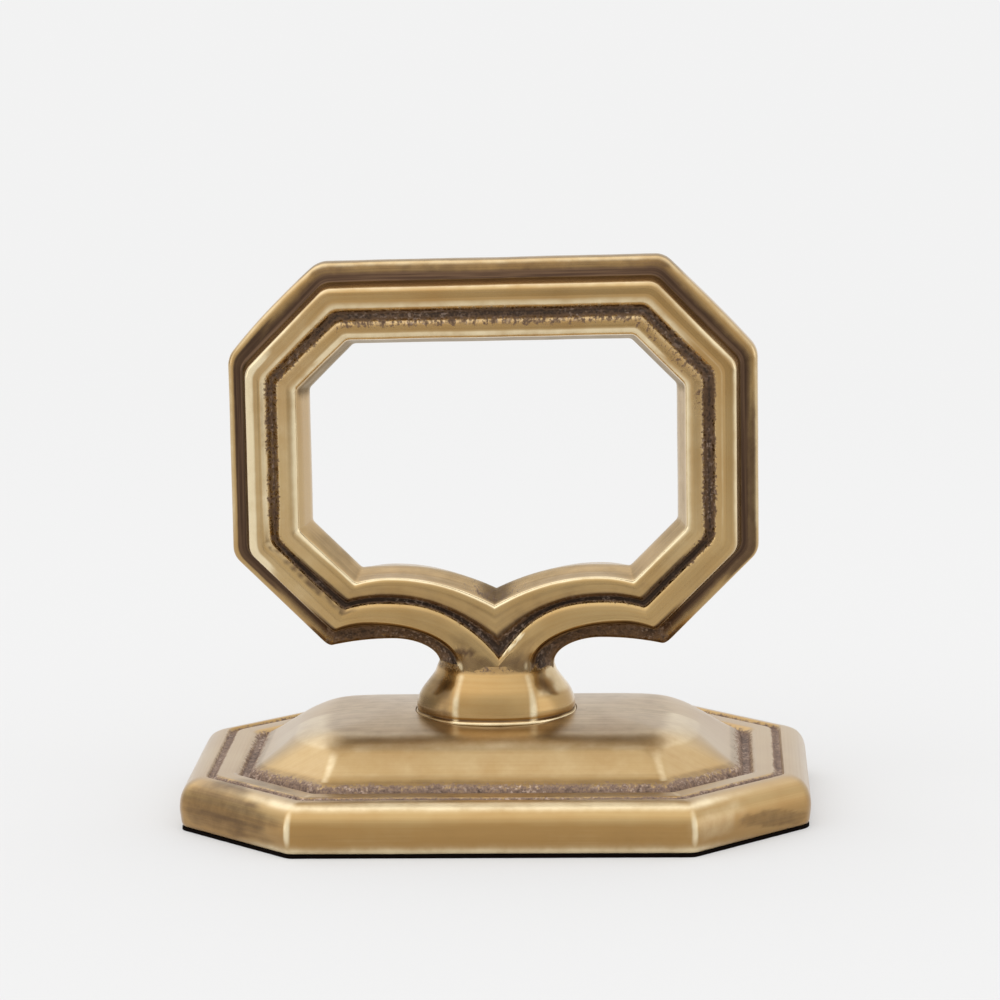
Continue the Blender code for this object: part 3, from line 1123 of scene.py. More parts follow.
                # ridge values: worn metal with painted highlights, and painted light on the right
                rub_and_highlight = ridge ** 2 * (self.rub_and_highlight + self.low_rub_and_highlight.at(point) - crease)
                wear_and_highlight = max(self.lip.at(point), self.painted_right_light.at(point), rub_and_highlight)
                traits[Trait.PATINA].append(strongest(self.patina, point))
                traits[Trait.WEAR_AND_HIGHLIGHT].append(wear_and_highlight * (1.0 - self.left_dullness * left))
                traits[Trait.STAIN_AND_SHADE].append(max(self.left_darkening * left, seam, crease))
                traits[Trait.TINT].append(self.tint)
                traits[Trait.ACROSS].append(self.line_share * point[2])
        return Skin("foot", loops, traits)


@dataclass
class RingCasting:
    """The reeded octagonal ring, its neck and its foot: one casting.

    Attributes:
        foot: the foot below the neck.
        hole_half_width, hole_top, hole_cut, top_spread, lower_sum, bottom_corner,
            bottom_corner_drop: the opening's outline, and how its corners move outward.
        arc_peak, arc_peak_spread, arc_peak_drop: the crest of the opening's bottom arcs.
        cusps: pairs of an offset and the height at which the bottom arcs meet there.
        arc_lift, arc_power: pairs of an offset and how far an arc's crest is raised there, and of
            an offset and the power with which the arc falls to its cusp.
        narrowing, narrowed: pairs of an offset and how far out it moves round the bottom of the
            ring, and where the bottom is.
        hole_rounding, rounding_growth: radius of the opening's corners, and its growth outward.
        inner_section, outer_section: the front half of the moulding, in millimetres: distance out
        from the opening, distance forward of mid depth, reach of the corner's rounding, then
        patina, worn metal with painted highlights on the arrises and shoulders, and tarnish. The outer reeds
        run down the neck.
        crest_offset, rim_offset, crest_peak, crest_neck, rim_peak, rim_neck, neck_bottom: where the
            outer reeds' crest and rim lie, how their arcs turn down the neck, and how far they run.
        neck_crest_forward, neck_rim_forward: how far forward the neck is filled out there.
        straight_steps, corner_steps, rise_steps, fall_steps, neck_steps, join_steps, longest_gap: how
            finely the outlines and the section are divided.
        bore_radius, bore_ends, sharp_angle: the screw's bore, and the angle of a sharp edge.
        drift, skew: zones in which the left groove strays left and the V's tip strays right.
        neck_softness: zone in which the neck's corners are drawn back.
        bulge, bulge_middle, bulge_reach, bulge_zone: how far the flange swells at the upper
            corners, left and right, and where.
        sway, sway_waves, sway_seeds, sway_depth, tilt: unevenness of the upper ring.
        tint: amber tone of the top.
        thin_patina, bead_foot_patina, more_patina: where the section's patina is thin, and where
            there is more of it.
        dulled, painted_highlight_zones: where the section's worn metal is lost, and where painted highlights
            brighten beads, arrises and a wall.
        thin_stain, more_stain_and_shade: where the section's tarnish is thin, and where more tarnish and
            painted shade are added.
        patches, patch_wave, patch_seed, patch_level: slow patches of stain.
        fold_shades, fold_shade_zone: painted shade, dark strokes across the neck under the beads' lower
            edges.
        highlights, highlight_zone: painted highlights, bright spots on the neck's corners.
        flecked, flecked_bareness, flecked_shine: bare flecks on the right flank of the V's groove.
        browned: brown patches on the bead beside the groove, at the lower left.
        underside, under_patina: the flange's face round the bottom arcs and beside the neck, and
            pairs of an offset and the patina there.
    """

    foot: FlaredFoot
    hole_half_width: float = 20.5 * MM
    hole_top: float = 52.7 * MM
    hole_cut: float = 5.0 * MM
    top_spread: float = 1.03
    lower_sum: float = 12.0 * MM
    bottom_corner: float = 27.1 * MM
    bottom_corner_drop: float = 0.98
    arc_peak: Pair = (11.2 * MM, 27.3 * MM)
    arc_peak_spread: float = 0.42
    arc_peak_drop: float = 0.945
    cusps: tuple[Pair, ...] = (
        (0.0, 24.6), (1.25, 23.15), (2.9, 20.0), (3.2, 19.3), (3.6, 18.3), (3.9, 17.6), (4.25, 17.2),
        (5.15, 16.4))
    arc_lift: tuple[Pair, ...] = (
        (0.0, 0.0), (0.5, 0.05), (0.9, 0.28), (1.12, 0.4), (2.5, 0.3), (3.1, 0.2), (3.8, 0.35), (5.3, 0.2))
    arc_power: tuple[Pair, ...] = ((0.0, 2.0), (2.5, 2.05), (3.1, 2.3), (3.6, 2.5), (3.9, 2.75), (5.3, 2.6))
    narrowing: tuple[Pair, ...] = (
        (2.0, 0.0), (2.45, 0.18), (2.8, 0.24), (3.25, 0.1), (3.6, 0.0), (3.95, -0.1), (4.3, -0.24),
        (4.6, -0.2), (5.3, 0.0))
    narrowed: Zone = Zone(z=falling(29.0, 36.0))
    hole_rounding: float = 0.8 * MM
    rounding_growth: float = 0.18
    # the fifth column is worn metal with painted highlights on the arrises and shoulders
    inner_section: tuple[Station, ...] = (
        (0.0, 0.0, 0.6, 0.0, 0.0, 0.15), (0.1, 0.8, 0.5, 0.0, 0.0, 0.15), (0.9, 4.02, 0.1, 0.0, 0.0, 0.1),
        (0.98, 4.34, 0.12, 0.0, 0.7, 0.05), (1.12, 4.52, 0.15, 0.0, 1.0, 0.0),
        (1.42, 4.68, 0.2, 0.0, 0.5, 0.0), (1.85, 4.76, 0.35, 0.0, 0.2, 0.0),
        (2.45, 4.72, 0.3, 0.0, 0.15, 0.05), (2.85, 4.54, 0.15, 0.14, 0.45, 0.05),
        (3.05, 4.35, 0.1, 0.46, 0.1, 0.65), (3.3, 4.1, 0.1, 0.78, 0.0, 0.85),
        (3.6, 3.95, 0.1, 1.22, 0.0, 0.6), (3.84, 4.15, 0.1, 0.78, 0.0, 0.85),
        (4.02, 4.42, 0.1, 0.44, 0.1, 0.65), (4.2, 4.66, 0.12, 0.16, 0.4, 0.0),
        (4.46, 4.88, 0.18, 0.0, 0.75, 0.0), (4.9, 5.05, 0.2, 0.0, 0.5, 0.0),
        (5.3, 5.17, 0.4, 0.0, 0.0, 0.0))
    outer_section: tuple[Station, ...] = (
        (6.0, 5.18, 0.3, 0.0, 0.05, 0.0), (6.38, 5.07, 0.2, 0.0, 0.65, 0.0),
        (6.57, 4.84, 0.15, 0.0, 1.0, 0.0), (6.68, 4.3, 0.1, 0.0, 0.3, 0.12),
        (7.0, 2.4, 0.25, 0.0, 0.0, 0.6), (7.15, 2.15, 0.2, 0.0, 0.0, 1.05),
        (7.4, 2.0, 0.2, 0.0, 0.0, 1.1), (7.95, 1.75, 0.2, 0.0, 0.0, 0.72),
        (8.3, 1.63, 0.1, 0.0, 0.0, 0.42), (8.6, 1.5, 0.2, 0.0, 0.3, 0.15),
        (8.8, 1.36, 0.2, 0.0, 0.55, 0.05), (8.98, 1.1, 0.3, 0.0, 0.4, 0.1),
        (9.05, 0.4, 0.2, 0.0, 0.05, 0.1), (9.05, 0.0, 0.0, 0.0, 0.0, 0.1))
    crest_offset: float = 6.42 * MM
    rim_offset: float = 9.05 * MM
    neck_bottom: float = 15.0 * MM
    crest_peak: Pair = (14.1 * MM, 21.55 * MM)
    crest_neck: Pair = (4.2 * MM, 16.7 * MM)
    rim_peak: Pair = (11.7 * MM, 19.05 * MM)
    rim_neck: Pair = (6.4 * MM, 16.2 * MM)
    neck_crest_forward: float = 4.95 * MM
    neck_rim_forward: float = 1.3 * MM
    straight_steps: tuple[int, ...] = (26, 14, 26, 18)
    corner_steps: int = 7
    rise_steps: int = 8
    fall_steps: int = 40
    neck_steps: int = 6
    join_steps: int = 6
    longest_gap: float = 0.42
    bore_radius: float = 2.3
    bore_ends: Pair = (14.3, 10.0)
    sharp_angle: float = 35.0

    drift: tuple[Zone, ...] = (
        Zone(0.3, (0.6, 1.2, 4.6, 5.4), x=falling(-21.0, -15.0)),
        Zone(0.15, (5.8, 6.4, 7.1, 7.6), x=falling(-21.0, -15.0)),
        Zone(0.15, (2.2, 2.7, 3.3, 3.6), x=falling(-21.0, -15.0)))
    skew: Zone = Zone(0.4, (1.5, 3.0, 4.6, 5.6), z=falling(18.0, 24.0), beside=falling(1.0, 9.0))
    neck_softness: Zone = Zone(0.8, (4.4, 4.8, 6.8, 7.4), z=falling(16.6, 19.0), beside=rising(2.4, 4.6))
    bulge: Pair = (0.4 * MM, 0.15 * MM)
    bulge_middle: float = 32.2 * MM
    bulge_reach: float = 10.4 * MM
    bulge_zone: Span = rising(7.0, 9.0)
    sway: tuple[Zone, ...] = (Zone(0.05, z=rising(20.0, 60.0)), Zone(z=rising(16.0, 24.0)))
    sway_waves: Triple = (7.0 * MM, 9.0 * MM, 6.0 * MM)
    sway_seeds: Triple = (3.1, 7.7, 5.3)
    sway_depth: float = 0.5
    tilt: Zone = Zone(0.012, z=rising(40.0, 60.0))

    tint: Zone = Zone(0.45, z=rising(45.0, 52.0))
    flecked: BrokenZone = BrokenZone(
        1.0, (3.7, 3.9, 4.65, 4.95), x=(0.2, 0.8, 2.8, 3.6), z=falling(20.5, 22.0),
        ground=0.35, gain=0.65, edge=(-0.2, 0.15), wave=0.45, seed=2.7)
    flecked_bareness: float = 0.6
    flecked_shine: float = 0.9
    browned: BrokenZone = BrokenZone(
        1.0, (3.8, 4.1, 4.6, 5.1), x=falling(-17.0, -14.0), z=falling(30.0, 34.0),
        ground=0.28, gain=0.35, wave=0.8, seed=5.9)
    underside: tuple[Zone, ...] = (
        Zone(1.0, (6.9, 7.3, 8.5, 9.0), z=falling(19.8, 21.5), beside=falling(17.0, 21.0)),
        Zone(1.0, (6.55, 6.75, 8.5, 9.0), z=falling(18.2, 19.4)))
    under_patina: tuple[Pair, ...] = ((6.0, 1.85), (9.0, 0.5))
    thin_patina: Zone = Zone(0.35, x=falling(-22.0, -18.0), z=rising(28.0, 31.0))
    bead_foot_patina: tuple[Zone, ...] = (
        Zone(0.8, (2.7, 3.1, 3.9, 4.35), z=falling(28.0, 34.0)),
        Zone(1.7, (3.05, 3.4, 3.75, 4.1), z=falling(28.0, 34.0)))
    more_patina: tuple[Zone, ...] = (
        Zone(0.3, falling(0.8, 1.0), z=falling(27.0, 29.0), beside=falling(0.5, 4.5)),  # wall above the V
        Zone(0.3, (1.5, 2.3, 2.9, 3.2), x=rising(13.0, 17.0), z=rising(43.0, 46.0)),  # upper right bead
        Zone(1.1, (2.8, 3.4, 3.6, 3.8), z=rising(47.0, 51.0), beside=falling(15.5, 18.0)),  # top groove
        Zone(0.52, (2.0, 2.6, 3.6, 3.8), z=rising(47.0, 51.0), beside=falling(15.5, 18.0)),
        Zone(0.6, (2.45, 3.0, 4.1, 4.6), x=rising(18.0, 22.0)),  # right groove
        Zone(0.45, (2.6, 3.0, 4.1, 4.5), x=falling(-22.0, -18.0)))  # left groove
    dulled: tuple[Zone, ...] = (
        Zone(0.7, rising(1.15, 1.35), z=falling(27.0, 34.0)),  # bottom of the ring
        Zone(0.75, (4.2, 4.4, 4.8, 5.0), z=falling(27.0, 34.0)),  # its shoulder outside the groove
        Zone(0.9, (4.2, 4.4, 4.8, 5.0), x=rising(20.0, 24.0)),  # the same shoulder on the right
        Zone(0.45, (6.0, 6.2, 6.8, 7.0), z=rising(54.0, 58.0)),  # top arris of the outer bead
        Zone(1.0, rising(8.3, 8.6), z=falling(20.0, 23.0)),  # rim under the arcs
        Zone(1.0, rising(6.2, 6.45), z=falling(22.0, 25.0)))  # flange under the arcs
    # painted highlights: brighter beads, arrises and a wall on the left, right and top, laid on as worn metal
    painted_highlight_zones: tuple[Zone, ...] = (
        Zone(0.32, (4.9, 5.2, 6.3, 6.6), x=falling(-22.0, -12.0)),  # left outer bead
        Zone(0.32, (1.1, 1.4, 2.5, 2.8), x=falling(-22.0, -12.0)),  # left inner bead
        Zone(0.3, (1.1, 1.4, 2.5, 2.8), x=rising(14.0, 21.0)),  # right inner bead
        Zone(0.75, (0.95, 1.1, 1.6, 1.9), z=rising(50.0, 52.0)),  # top arris of the opening
        Zone(0.95, (5.6, 6.0, 6.6, 6.7), x=falling(-25.5, -23.0)),  # left arris of the outer bead
        Zone(0.8, (6.5, 6.6, 6.8, 6.95), x=rising(22.0, 25.0)))  # its wall on the right
    thin_stain: Zone = Zone(0.35, (2.85, 3.0, 4.1, 4.25), x=falling(-22.0, -18.0), z=rising(28.0, 31.0))
    more_stain_and_shade: tuple[Zone, ...] = (
        # painted shade: darkens the outer bead's lower edge above the neck
        Zone(0.9, (5.9, 6.35, 6.5, 6.7), z=falling(21.0, 26.0)),  # arris above the neck
        Zone(0.75, (8.3, 8.6, 8.98, 9.045), z=falling(20.0, 21.5)),  # rim under the arcs
        Zone(0.6, rising(8.85, 8.98), z=rising(59.0, 60.5)),  # rim on top
        # painted shade: darkens the inner bead's lower flank round the bottom
        Zone(0.8, (2.35, 2.7, 3.1, 3.3), z=falling(27.0, 33.0)),  # foot of the inner bead, below
        Zone(0.75, (7.4, 7.9, 8.6, 8.95), x=rising(24.0, 27.0), z=falling(42.0, 52.0)),  # right flange
        Zone(0.95, (7.2, 7.5, 8.2, 8.6), x=falling(-26.0, -22.0)),  # left flange
        Zone(0.6, (7.4, 7.9, 8.6, 8.95), z=rising(60.0, 60.8)),  # top flange
        Zone(0.45, falling(0.8, 1.0), z=falling(26.0, 30.0)),  # floor of the opening
        # painted shade: browns the ceiling of the opening, which faces down
        Zone(0.8, falling(0.8, 1.0), z=rising(46.0, 48.0)),  # ceiling of the opening
        Zone(0.4, falling(0.8, 1.0), x=rising(15.0, 20.0)),  # right wall of the opening
        Zone(0.45, falling(0.8, 1.0), x=falling(-17.0, -14.0), z=falling(30.0, 34.0)),  # its lower left
        Zone(0.85, falling(0.8, 1.0), z=falling(27.0, 30.0), beside=falling(0.5, 4.0)),  # walls by the V
        Zone(0.6, rising(4.6, 5.2), z=falling(17.0, 19.5)),  # neck
        Zone(0.32, (1.4, 1.8, 2.8, 3.0), z=falling(25.5, 27.0)),  # dull beads round the bottom
        Zone(0.35, (4.3, 4.6, 5.4, 5.9), z=falling(19.5, 22.0)))
    patches: float = 0.5
    patch_wave: float = 9.0 * MM
    patch_seed: float = 1.9
    patch_level: float = 0.05
    # painted shade under the beads' lower edges, where they overhang the neck
    fold_shades: tuple[Blot, ...] = (
        Blot(-3.4, 18.35, 2.2, 0.5, -0.12, 0.75, 0.4), Blot(2.2, 17.9, 1.6, 0.4, 0.5, 0.4, 0.3))
    fold_shade_zone: Span = rising(4.2, 4.6)
    # painted highlights on the neck's corners
    highlights: tuple[Blot, ...] = (
        Blot(-4.1, 16.6, 0.8, 1.1, 0.0, 0.9, 0.3), Blot(3.4, 16.8, 0.6, 1.3, 0.0, 0.6, 0.2))
    highlight_zone: Span = rising(4.4, 4.7)

    def corners(self, offset: float) -> list[Pair]:
        """Return the right half's corners of an outline.

        Args:
            offset: distance out from the opening, in metres.

        Returns:
            Four corners, from the top down.
        """
        width = self.hole_half_width + offset
        slant = offset * MITRE
        bottom = self.bottom_corner - self.bottom_corner_drop * offset
        return [(self.hole_half_width - self.hole_cut + slant, self.hole_top + self.top_spread * offset),
                (width, self.hole_top - self.hole_cut + slant),
                (width, self.hole_half_width + self.lower_sum - slant),
                (bottom - self.lower_sum + offset * math.sqrt(2), bottom)]

    def rise(self, corner: Pair, peak: Pair) -> list[Pair]:
        """Rise from a lower corner to the crest of the bottom arc.

        Args:
            corner: the corner.
            peak: the crest.

        Returns:
            The points after the corner.
        """
        shares = [1.0 - step / self.rise_steps for step in range(1, self.rise_steps + 1)]
        across, down = corner[0] - peak[0], peak[1] - corner[1]
        return [(peak[0] + across * t, peak[1] - down * t * t) for t in shares]

    def cusp_path(self, offset: float, corner: Pair) -> list[Pair]:
        """Follow the bottom arc of an inner reed.

        Args:
            offset: distance out from the opening, in metres.
            corner: the lower corner at which it starts.

        Returns:
            Points from the corner to the cusp on the centre line.
        """
        lift = piecewise(self.arc_lift, offset / MM) * MM
        peak = (self.arc_peak[0] + self.arc_peak_spread * offset,
                self.arc_peak[1] - self.arc_peak_drop * offset + lift)
        fall = peak[1] - piecewise(self.cusps, offset / MM) * MM
        power = piecewise(self.arc_power, offset / MM)
        shares = [step / self.fall_steps for step in range(1, self.fall_steps + 1)]
        return self.rise(corner, peak) + [(peak[0] * (1.0 - t), peak[1] - fall * t ** power) for t in shares]

    def flange_share(self, offset: float) -> float:
        """Return how far across the flange an offset lies: 0 at its crest, 1 at its rim."""
        return (offset - self.crest_offset) / (self.rim_offset - self.crest_offset)

    def neck_path(self, offset: float, corner: Pair) -> list[Pair]:
        """Follow the bottom arc of an outer reed, which runs down the side of the neck.

        Args:
            offset: distance out from the opening, in metres.
            corner: the lower corner at which it starts.

        Returns:
            Points from the corner down the neck and in to the centre line.
        """
        share = self.flange_share(offset)
        peak = mix(self.crest_peak, self.rim_peak, share)
        neck = mix(self.crest_neck, self.rim_neck, share)
        turn = self.fall_steps - 2 * self.neck_steps
        angles = [0.5 * math.pi * step / turn for step in range(1, turn + 1)]
        path = self.rise(corner, peak)
        path += [(peak[0] - (peak[0] - neck[0]) * math.sin(a), neck[1] + (peak[1] - neck[1]) * math.cos(a))
                 for a in angles]
        shares = [step / self.neck_steps for step in range(1, self.neck_steps + 1)]
        path += [(neck[0], neck[1] + (self.neck_bottom - neck[1]) * t) for t in shares]
        return path + [(neck[0] * (1.0 - t), self.neck_bottom) for t in shares]

    def neck_depth(self, offset: float, forward: float, step: int) -> float:
        """Fill an outer reed out to the neck.

        Args:
            offset: distance out from the opening, in metres.
            forward: distance forward of mid depth on the ring.
            step: number of the point along the bottom arc.

        Returns:
            How far forward the point lies.
        """
        filled = mix((self.neck_crest_forward,), (self.neck_rim_forward,), self.flange_share(offset))[0]
        turn_end = self.rise_steps + self.fall_steps - 2 * self.neck_steps
        return forward + max(filled - forward, 0.0) * min(step / turn_end, 1.0) ** 2

    def half_loop(self, offset: float, forward: float, on_neck: bool) -> Loop:
        """Return the right half of one outline of the moulding.

        Args:
            offset: distance out from the opening, in metres.
            forward: distance forward of mid depth.
            on_neck: true where the bottom arc runs down the neck.

        Returns:
            Points from the middle of the top to the centre line below.
        """
        corners = self.corners(offset)
        path = (self.neck_path if on_neck else self.cusp_path)(offset, corners[-1])
        stations = [(0.0, corners[0][1])] + corners + path[:1]
        reach = (self.hole_rounding + self.rounding_growth * offset) * MITRE
        half = [stations[0]]
        for before, corner, after, steps in zip(stations, stations[1:], stations[2:], self.straight_steps):
            arc = rounded_corner(before, corner, after, reach, self.corner_steps)
            half += between(half[-1], arc[0], steps) + arc
        loop = [(x, -forward, z) for x, z in half]
        for step, (x, z) in enumerate(path):
            depth = self.neck_depth(offset, forward, step) if on_neck else forward
            loop.append((x, -depth, z))
        return loop

    def reed_loop(self, station: Station) -> Loop:
        """Return the right half of an inner reed's outline, with the groove narrower round the bottom.

        Args:
            station: the section's station of the reed.

        Returns:
            Points from the top to the centre line below.
        """
        offset, forward = station[0], station[1] * MM
        wide = self.half_loop(offset * MM, forward, False)
        narrow = self.half_loop((offset + piecewise(self.narrowing, offset)) * MM, forward, False)
        return [mix(p, q, self.narrowed.at(p)) for p, q in zip(wide, narrow)]

    def front_stations(self) -> list[tuple[Station, Loop]]:
        """Lay out the front half of the moulding.

        Returns:
            The section's stations, each with the right half of its outline.
        """
        inner = rounded_section(self.inner_section, self.longest_gap)
        outer = rounded_section(self.outer_section, self.longest_gap)
        reeds = [(station, self.reed_loop(station)) for station in inner]
        flange = [(station, self.half_loop(station[0] * MM, station[1] * MM, True)) for station in outer]
        (last, last_loop), (first, first_loop) = reeds[-1], flange[0]
        for step in range(1, self.join_steps):
            t = step / self.join_steps
            reeds.append((mix(last, first, t), [mix(p, q, t) for p, q in zip(last_loop, first_loop)]))
        return reeds + flange

    def skin(self) -> Skin:
        """Loft the ring and neck.

        Returns:
            One closed skin with its traits.
        """
        front = self.front_stations()
        lengths = run_lengths([station[:2] for station, _ in front])
        # One loop, a third of the way out, measures the run along the moulding for all of them
        along = mirrored_run(mirrored(front[len(front) // 3][1]))
        halves = [(index, 1.0) for index in range(len(front))]
        halves += [(index, -1.0) for index in range(len(front) - 2, 0, -1)]
        loops = []
        traits: dict[Trait, list[float]] = {trait: [] for trait in Trait}
        for index, side in halves:
            station, half = front[index]
            loop = mirrored([(x, y * side, z) for x, y, z in half])
            loops.append([self.cast(point, station[0]) for point in loop])
            traits[Trait.PATINA] += [self.patina(point, station) for point in loop]
            traits[Trait.WEAR_AND_HIGHLIGHT] += [self.wear_and_highlight(point, station) for point in loop]
            traits[Trait.STAIN_AND_SHADE] += [self.stain_and_shade(point, station) for point in loop]
            traits[Trait.TINT] += [self.tint.at(point) for point in loop]
            traits[Trait.ACROSS] += [lengths[index] * MM] * len(loop)
            traits[Trait.ALONG] += along
        return Skin("ring", loops, traits, ring=True)

    def cast(self, point: Triple, offset: float) -> Triple:
        """Move a point by the unevenness of a hand casting.

        Args:
            point: the even place, in metres.
            offset: distance out from the opening, in millimetres.

        Returns:
            The place in the casting.
        """
        x, y, z = point
        for zone in self.drift:
            x -= zone.at((x, y, z), offset) * MM
        x += self.skew.at((x, y, z), offset) * MM
        y -= math.copysign(self.neck_softness.at((x, y, z), offset) * MM, y)
        from_middle = (z - abs(x) - self.bulge_middle) / self.bulge_reach
        swell = self.bulge[x > 0.0] * window(self.bulge_zone, offset) * math.sqrt(0.5)
        swell *= max(0.0, 1.0 - from_middle ** 2)
        x, z = x + math.copysign(swell, x), z + swell
        sway = math.prod(zone.at((x, y, z)) for zone in self.sway) * MM
        waves = zip(self.sway_waves, self.sway_seeds)
        right, back, up = (sway * ripple(point, wave, seed) for wave, seed in waves)
        return x + right, y + self.sway_depth * back, z + up + x * self.tilt.at((x, y, z))

    def patina(self, point: Triple, station: Station) -> float:
        """Return the patina at a point.

        Args:
            point: the even place, in metres.
            station: the section's station that it belongs to.

        Returns:
            The patina, 0 where there is none.
        """
        offset, own = station[0], station[3]
        bare = self.flecked_bareness * self.flecked.at(point, offset)
        under = strongest(self.underside, point, offset) * piecewise(self.under_patina, offset)
        return max(own * (1.0 - max(bare, self.thin_patina.at(point))), under,
                   strongest(self.bead_foot_patina, point, offset) * (1.0 - bare),
                   strongest(self.more_patina, point, offset))

    def wear_and_highlight(self, point: Triple, station: Station) -> float:
        """Return the worn metal and painted highlights at a point.

        Args:
            point: the even place, in metres.
            station: the section's station that it belongs to.

        Returns:
            The worn metal and painted highlights, 0 where there is none.
        """
        offset, own = station[0], station[4]
        brown = self.browned.at(point, offset)
        return max(own * (1.0 - max(brown, strongest(self.dulled, point, offset))),
                   strongest(self.painted_highlight_zones, point, offset) * (1.0 - brown),
                   blotted(self.highlights, point) * window(self.highlight_zone, offset),
                   self.flecked_shine * self.flecked.at(point, offset))

    def stain_and_shade(self, point: Triple, station: Station) -> float:
        """Return the purple-brown tarnish and painted shade at a point.

        Args:
            point: the even place, in metres.
            station: the section's station that it belongs to.

        Returns:
            The tarnish and painted shade, 0 where there is none.
        """
        offset, own = station[0], station[5]
        patches = self.patches * ripple(point, self.patch_wave, self.patch_seed) - self.patch_level
        own *= 1.0 - self.thin_stain.at(point, offset)
        return max(0.0, patches, own, self.browned.at(point, offset),
                   blotted(self.fold_shades, point) * window(self.fold_shade_zone, offset),
                   strongest(self.more_stain_and_shade, point, offset))

    def build(self) -> bpy.types.Object:
        """Make the casting.

        Returns:
            The object that stands for the CAD ring.
        """
        bore = turned("screw_bore", self.bore_radius, self.bore_ends)
        steps = [("UNION", self.foot.skin().mesh()), ("DIFFERENCE", bore)]
        return combined("ring_casting", self.skin().mesh(), steps, self.sharp_angle)


